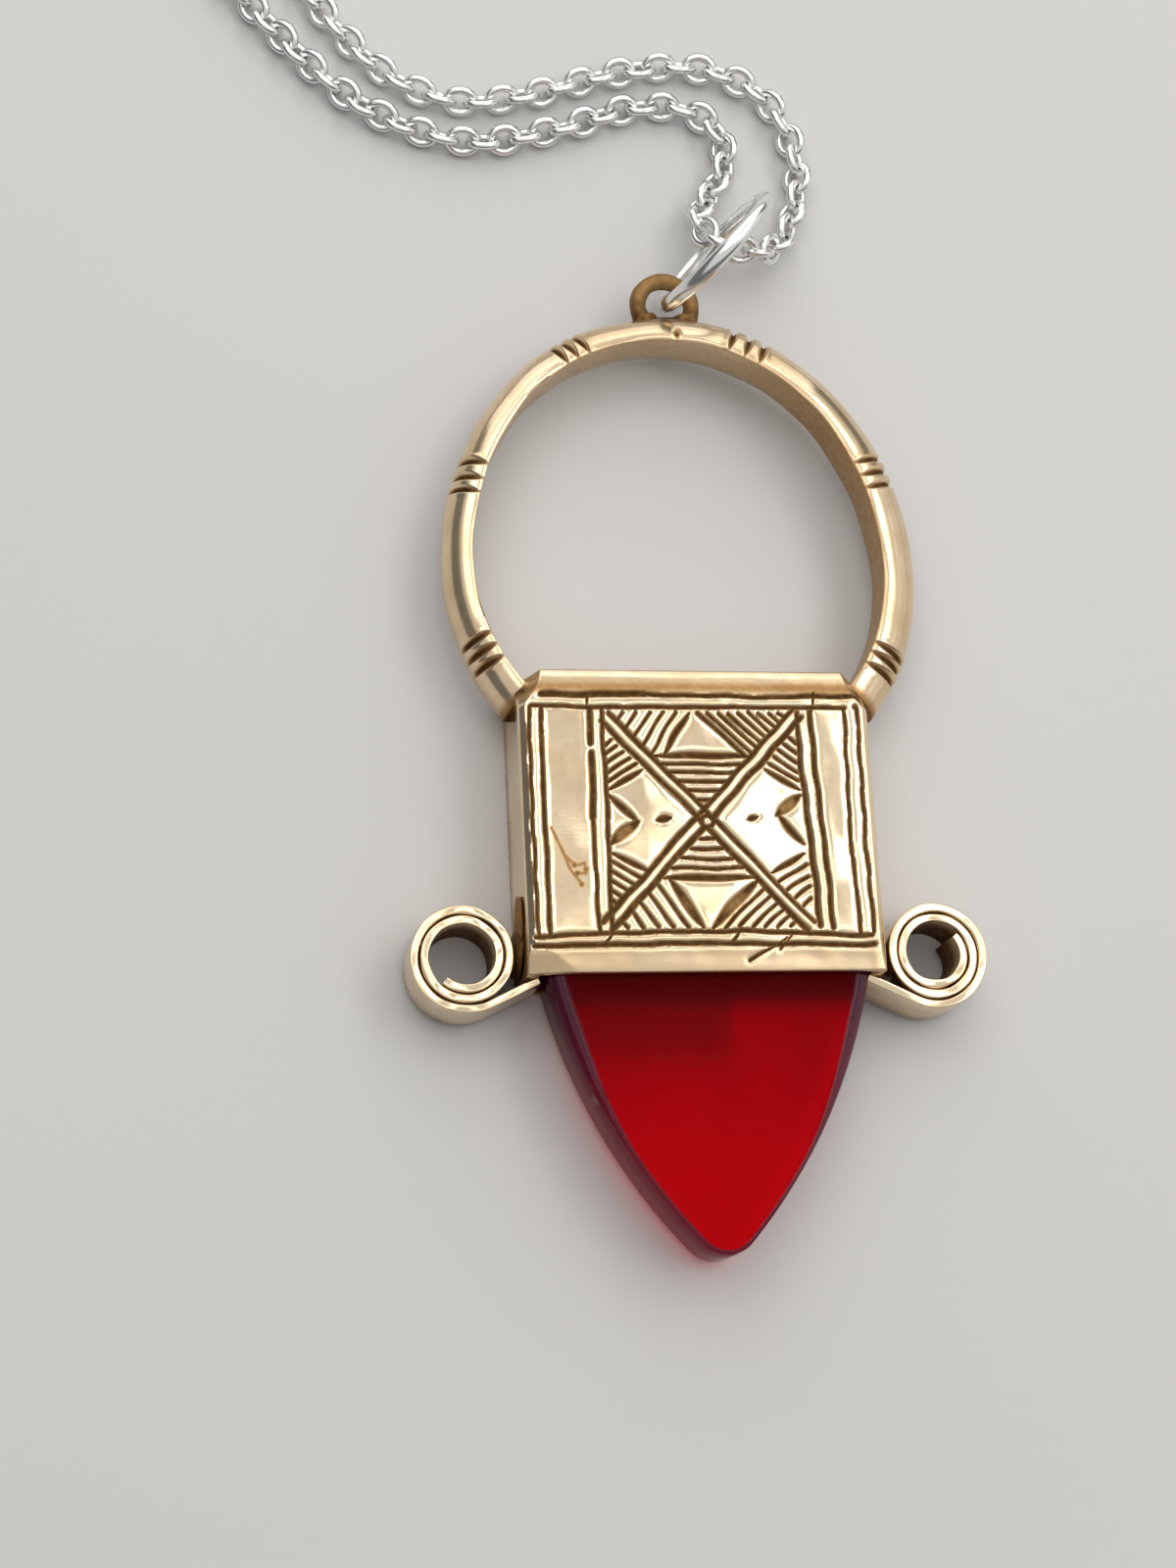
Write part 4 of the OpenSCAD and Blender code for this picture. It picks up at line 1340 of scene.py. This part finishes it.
class NecklacePendantSettings(bpy.types.PropertyGroup):
    """Sizes of the case, its engraving, the hoop and the scrolls"""
    grid_step: length_setting("Grid step", "Between two points of the front", 0.07, 0.05, 0.3)
    groove_depth: length_setting("Groove depth", "Depth of an engraved line", 0.13, 0.05, 0.3)
    wear: length_setting("Wear", "How far the metal beside a line is worn down", 0.035, 0.0, 0.1)
    wobble: length_setting("Hand wobble", "How far a line strays from straight", 0.045, 0.0, 0.2)
    hoop_width: length_setting("Hoop width", "Outer width of the hoop", 29.2, 28.0, 30.0)
    notch_depth: length_setting("Notch depth", "Depth of a filed notch", 0.34, 0.1, 0.5)
    scroll_radius: length_setting("Scroll radius", "Outer radius of a scroll", 3.34, 3.0, 3.5)
    strip_thickness: length_setting("Strip thickness", "Thickness of the strip", 0.5, 0.4, 0.6)
    strip_gap: length_setting("Strip gap", "Gap between two turns", 0.1, 0.05, 0.2)
    left_turns: number_setting("Left turns", "Turns of the left scroll", 2.19, 1.5, 3)
    right_turns: number_setting("Right turns", "Turns of the right scroll", 2.44, 1.5, 3)
    bevel_width: length_setting("Drop bevel", "Width of the drop's bevel", 0.9, 0.4, 1.2)


class NecklaceChainSettings(bpy.types.PropertyGroup):
    """Sizes of the jump ring and the chain's links"""
    ring_radius: length_setting("Ring radius", "To the middle of its wire", 4.425, 4.4, 4.5)
    ring_wire: length_setting("Ring wire", "Radius of the jump ring's wire", 0.525, 0.45, 0.55)
    pitch: length_setting("Pitch", "Distance between the middles of two links", 1.35, 1.2, 1.5)
    link_length: length_setting("Link length", "Outer length of a link", 2.43, 2.0, 2.6)
    link_width: length_setting("Link width", "Outer width of a link", 2.1, 1.8, 2.3)
    link_wire: length_setting("Link wire", "Radius of a link's wire", 0.27, 0.2, 0.3)
    roll: angle_setting("Roll", "Turn of a link about the chain", math.radians(45), 0.6, 0.9)
    unevenness: angle_setting("Unevenness", "How far its turn strays", math.radians(9), 0.0, 0.4)


class NecklaceStageSettings(bpy.types.PropertyGroup):
    """Floor, lights and surroundings"""
    floor_size: length_setting("Floor size", "Length of the floor's side", 2400.0, 500.0, 10000.0)
    floor_colour: colour_setting("Floor colour", "Main colour of the floor", (0.62, 0.61, 0.6))
    floor_shade: colour_setting("Floor shade", "Its slightly darker places", (0.59, 0.58, 0.575))
    brightness: number_setting("Brightness", "Strength of the soft lights", 1.0, 0.0, 10.0)
    surroundings: number_setting("Surroundings", "Strength of the even light", 0.15, 0.0, 10.0)


class NecklaceSettings(bpy.types.PropertyGroup):
    """All settings of the necklace"""
    finish: group_setting(NecklaceFinishSettings, "Finishes", "Colours")
    pendant: group_setting(NecklacePendantSettings, "Pendant", "Pendant sizes")
    chain: group_setting(NecklaceChainSettings, "Chain", "Chain sizes")
    stage: group_setting(NecklaceStageSettings, "Stage", "Floor and lights")


# Operators
def settings_of(context):
    return context.scene.necklace_settings


def finish_of(context, make, name):
    """A finish that is made once and shared by the pieces that wear it"""
    return bpy.data.materials.get(name) or make(settings_of(context).finish)


def bright_of(context):
    return finish_of(context, bright_silver, "Bright silver")


def add_silverwork(context, shell, name):
    """One piece of the soldered silverwork"""
    piece = shell.make(name, finish_of(context, aged_silver, "Aged silver"))
    dress(piece, "silver_aged", "pendant_frame")


def add_soft_light(name, middle, width, length, tilts, brightness):
    """A soft light with the same brightness whatever its size"""
    light = bpy.data.lights.new(name, "AREA")
    light.shape = "RECTANGLE"
    light.size = width
    light.size_y = length
    light.energy = LIGHT_WATTS * brightness * width * length
    light.color = LIGHT_COLOUR
    piece = bpy.data.objects.new(name, light)
    piece.location = middle
    piece.rotation_euler = (math.radians(tilts[0]), math.radians(tilts[1]), 0)
    bpy.context.scene.collection.objects.link(piece)


class NECKLACE_OT_stage(bpy.types.Operator):
    """Add the camera, the floor, the soft lights and the even surroundings"""
    bl_idname = "necklace.stage"
    bl_label = "Stage"

    def execute(self, context):
        settings = settings_of(context).stage
        scene = context.scene
        camera = bpy.data.cameras.new("Camera")
        camera.sensor_fit = "AUTO"
        camera.sensor_width = CAMERA_SENSOR
        camera.lens = CAMERA_LENS
        camera.clip_start = 0.01
        piece = bpy.data.objects.new("Camera", camera)
        turned = Matrix((CAMERA_RIGHT, CAMERA_TOP, CAMERA_BACK)).transposed().to_4x4()
        piece.matrix_world = Matrix.Translation([value * MM for value in CAMERA_PLACE]) @ turned
        scene.collection.objects.link(piece)
        scene.camera = piece

        half = settings.floor_size / 2
        corners = [(x * half, y * half, FLOOR_Z) for x, y in ((-1, -1), (1, -1), (1, 1), (-1, 1))]
        mesh = bpy.data.meshes.new("floor")
        mesh.from_pydata(corners, [], [(0, 1, 2, 3)])
        mesh.materials.append(pale_floor(settings))
        floor = bpy.data.objects.new("floor", mesh)
        scene.collection.objects.link(floor)

        world = bpy.data.worlds.new("Studio")
        world.use_nodes = True
        even = world.node_tree.nodes["Background"]
        even.inputs["Color"].default_value = SKY_COLOUR
        even.inputs["Strength"].default_value = settings.surroundings
        scene.world = world
        for *layout, strength in LIGHTS:
            add_soft_light(*layout, strength * settings.brightness)
        scene.view_settings.view_transform = "Standard"
        return {"FINISHED"}


class NECKLACE_OT_case(bpy.types.Operator):
    """Build the engraved case"""
    bl_idname = "necklace.case"
    bl_label = "Case"

    def execute(self, context):
        add_silverwork(context, build_case(settings_of(context).pendant), "engraved_case")
        return {"FINISHED"}


class NECKLACE_OT_hoop(bpy.types.Operator):
    """Build the notched hoop, the lug on its top and the lumps of solder"""
    bl_idname = "necklace.hoop"
    bl_label = "Hoop and lug"

    def execute(self, context):
        add_silverwork(context, build_hoop(settings_of(context).pendant), "notched_hoop")
        add_silverwork(context, build_lug(), "wire_lug")
        add_silverwork(context, build_solder(), "solder_joints")
        return {"FINISHED"}


class NECKLACE_OT_scrolls(bpy.types.Operator):
    """Build the two coiled scrolls"""
    bl_idname = "necklace.scrolls"
    bl_label = "Scrolls"

    def execute(self, context):
        settings = settings_of(context).pendant
        left = build_scroll(settings, settings.left_turns, False)
        right = build_scroll(settings, settings.right_turns, True)
        add_silverwork(context, left, "left_scroll")
        add_silverwork(context, right, "right_scroll")
        return {"FINISHED"}


class NECKLACE_OT_drop(bpy.types.Operator):
    """Build the red glass drop"""
    bl_idname = "necklace.drop"
    bl_label = "Red drop"

    def execute(self, context):
        settings = settings_of(context)
        glass = finish_of(context, red_glass, "Red glass")
        piece = build_drop(settings.pendant).make("red_drop", glass, sharp_angle=28)
        dress(piece, "red_glass", "red_stone")
        return {"FINISHED"}


class NECKLACE_OT_jump_ring(bpy.types.Operator):
    """Build the jump ring"""
    bl_idname = "necklace.jump_ring"
    bl_label = "Jump ring"

    def execute(self, context):
        shell = build_jump_ring(settings_of(context).chain)
        dress(shell.make("round_jump_ring", bright_of(context)), "silver_bright", "jump_ring")
        return {"FINISHED"}


class NECKLACE_OT_chain(bpy.types.Operator):
    """Build the chain's links along its route"""
    bl_idname = "necklace.chain"
    bl_label = "Chain"

    def execute(self, context):
        settings = settings_of(context).chain
        values = {
            "Pitch": settings.pitch,
            "Link length": settings.link_length,
            "Link width": settings.link_width,
            "Wire radius": settings.link_wire,
            "Roll": settings.roll,
            "Unevenness": settings.unevenness,
            "Material": bright_of(context),
        }
        piece = apply_tree(route_curve("Chain route"), link_tree(), values, "chain_links")
        dress(piece, "silver_bright", "chain")
        return {"FINISHED"}


class NECKLACE_OT_clasp(bpy.types.Operator):
    """Build the ring clasp between the chain's ends"""
    bl_idname = "necklace.clasp"
    bl_label = "Clasp"

    def execute(self, context):
        dress(build_clasp().make("ring_clasp", bright_of(context)), "silver_bright", "clasp")
        return {"FINISHED"}


class NECKLACE_PT_sidebar(bpy.types.Panel):
    """Lists the necklace's pieces and their settings"""
    bl_label = "Necklace"
    bl_idname = "NECKLACE_PT_sidebar"
    bl_space_type = "VIEW_3D"
    bl_region_type = "UI"
    bl_category = "Necklace"

    def draw(self, context):
        layout = self.layout
        settings = settings_of(context)
        for operator in OPERATORS:
            layout.operator(operator.bl_idname)
        for group in (settings.finish, settings.pendant, settings.chain, settings.stage):
            box = layout.box()
            for name in group.__annotations__:
                box.prop(group, name)


OPERATORS = (
    NECKLACE_OT_stage,
    NECKLACE_OT_case,
    NECKLACE_OT_hoop,
    NECKLACE_OT_scrolls,
    NECKLACE_OT_drop,
    NECKLACE_OT_jump_ring,
    NECKLACE_OT_chain,
    NECKLACE_OT_clasp,
)
CLASSES = (
    NecklaceFinishSettings,
    NecklacePendantSettings,
    NecklaceChainSettings,
    NecklaceStageSettings,
    NecklaceSettings,
    *OPERATORS,
    NECKLACE_PT_sidebar,
)


def register():
    for item in CLASSES:
        bpy.utils.register_class(item)
    setting = group_setting(NecklaceSettings, "Necklace", "Settings of the necklace")
    bpy.types.Scene.necklace_settings = setting


def unregister():
    del bpy.types.Scene.necklace_settings
    for item in reversed(CLASSES):
        bpy.utils.unregister_class(item)


def main():
    register()
    bpy.ops.necklace.stage()
    bpy.ops.necklace.case()
    bpy.ops.necklace.hoop()
    bpy.ops.necklace.scrolls()
    bpy.ops.necklace.drop()
    bpy.ops.necklace.jump_ring()
    bpy.ops.necklace.chain()
    bpy.ops.necklace.clasp()


if __name__ == "__main__":
    main()
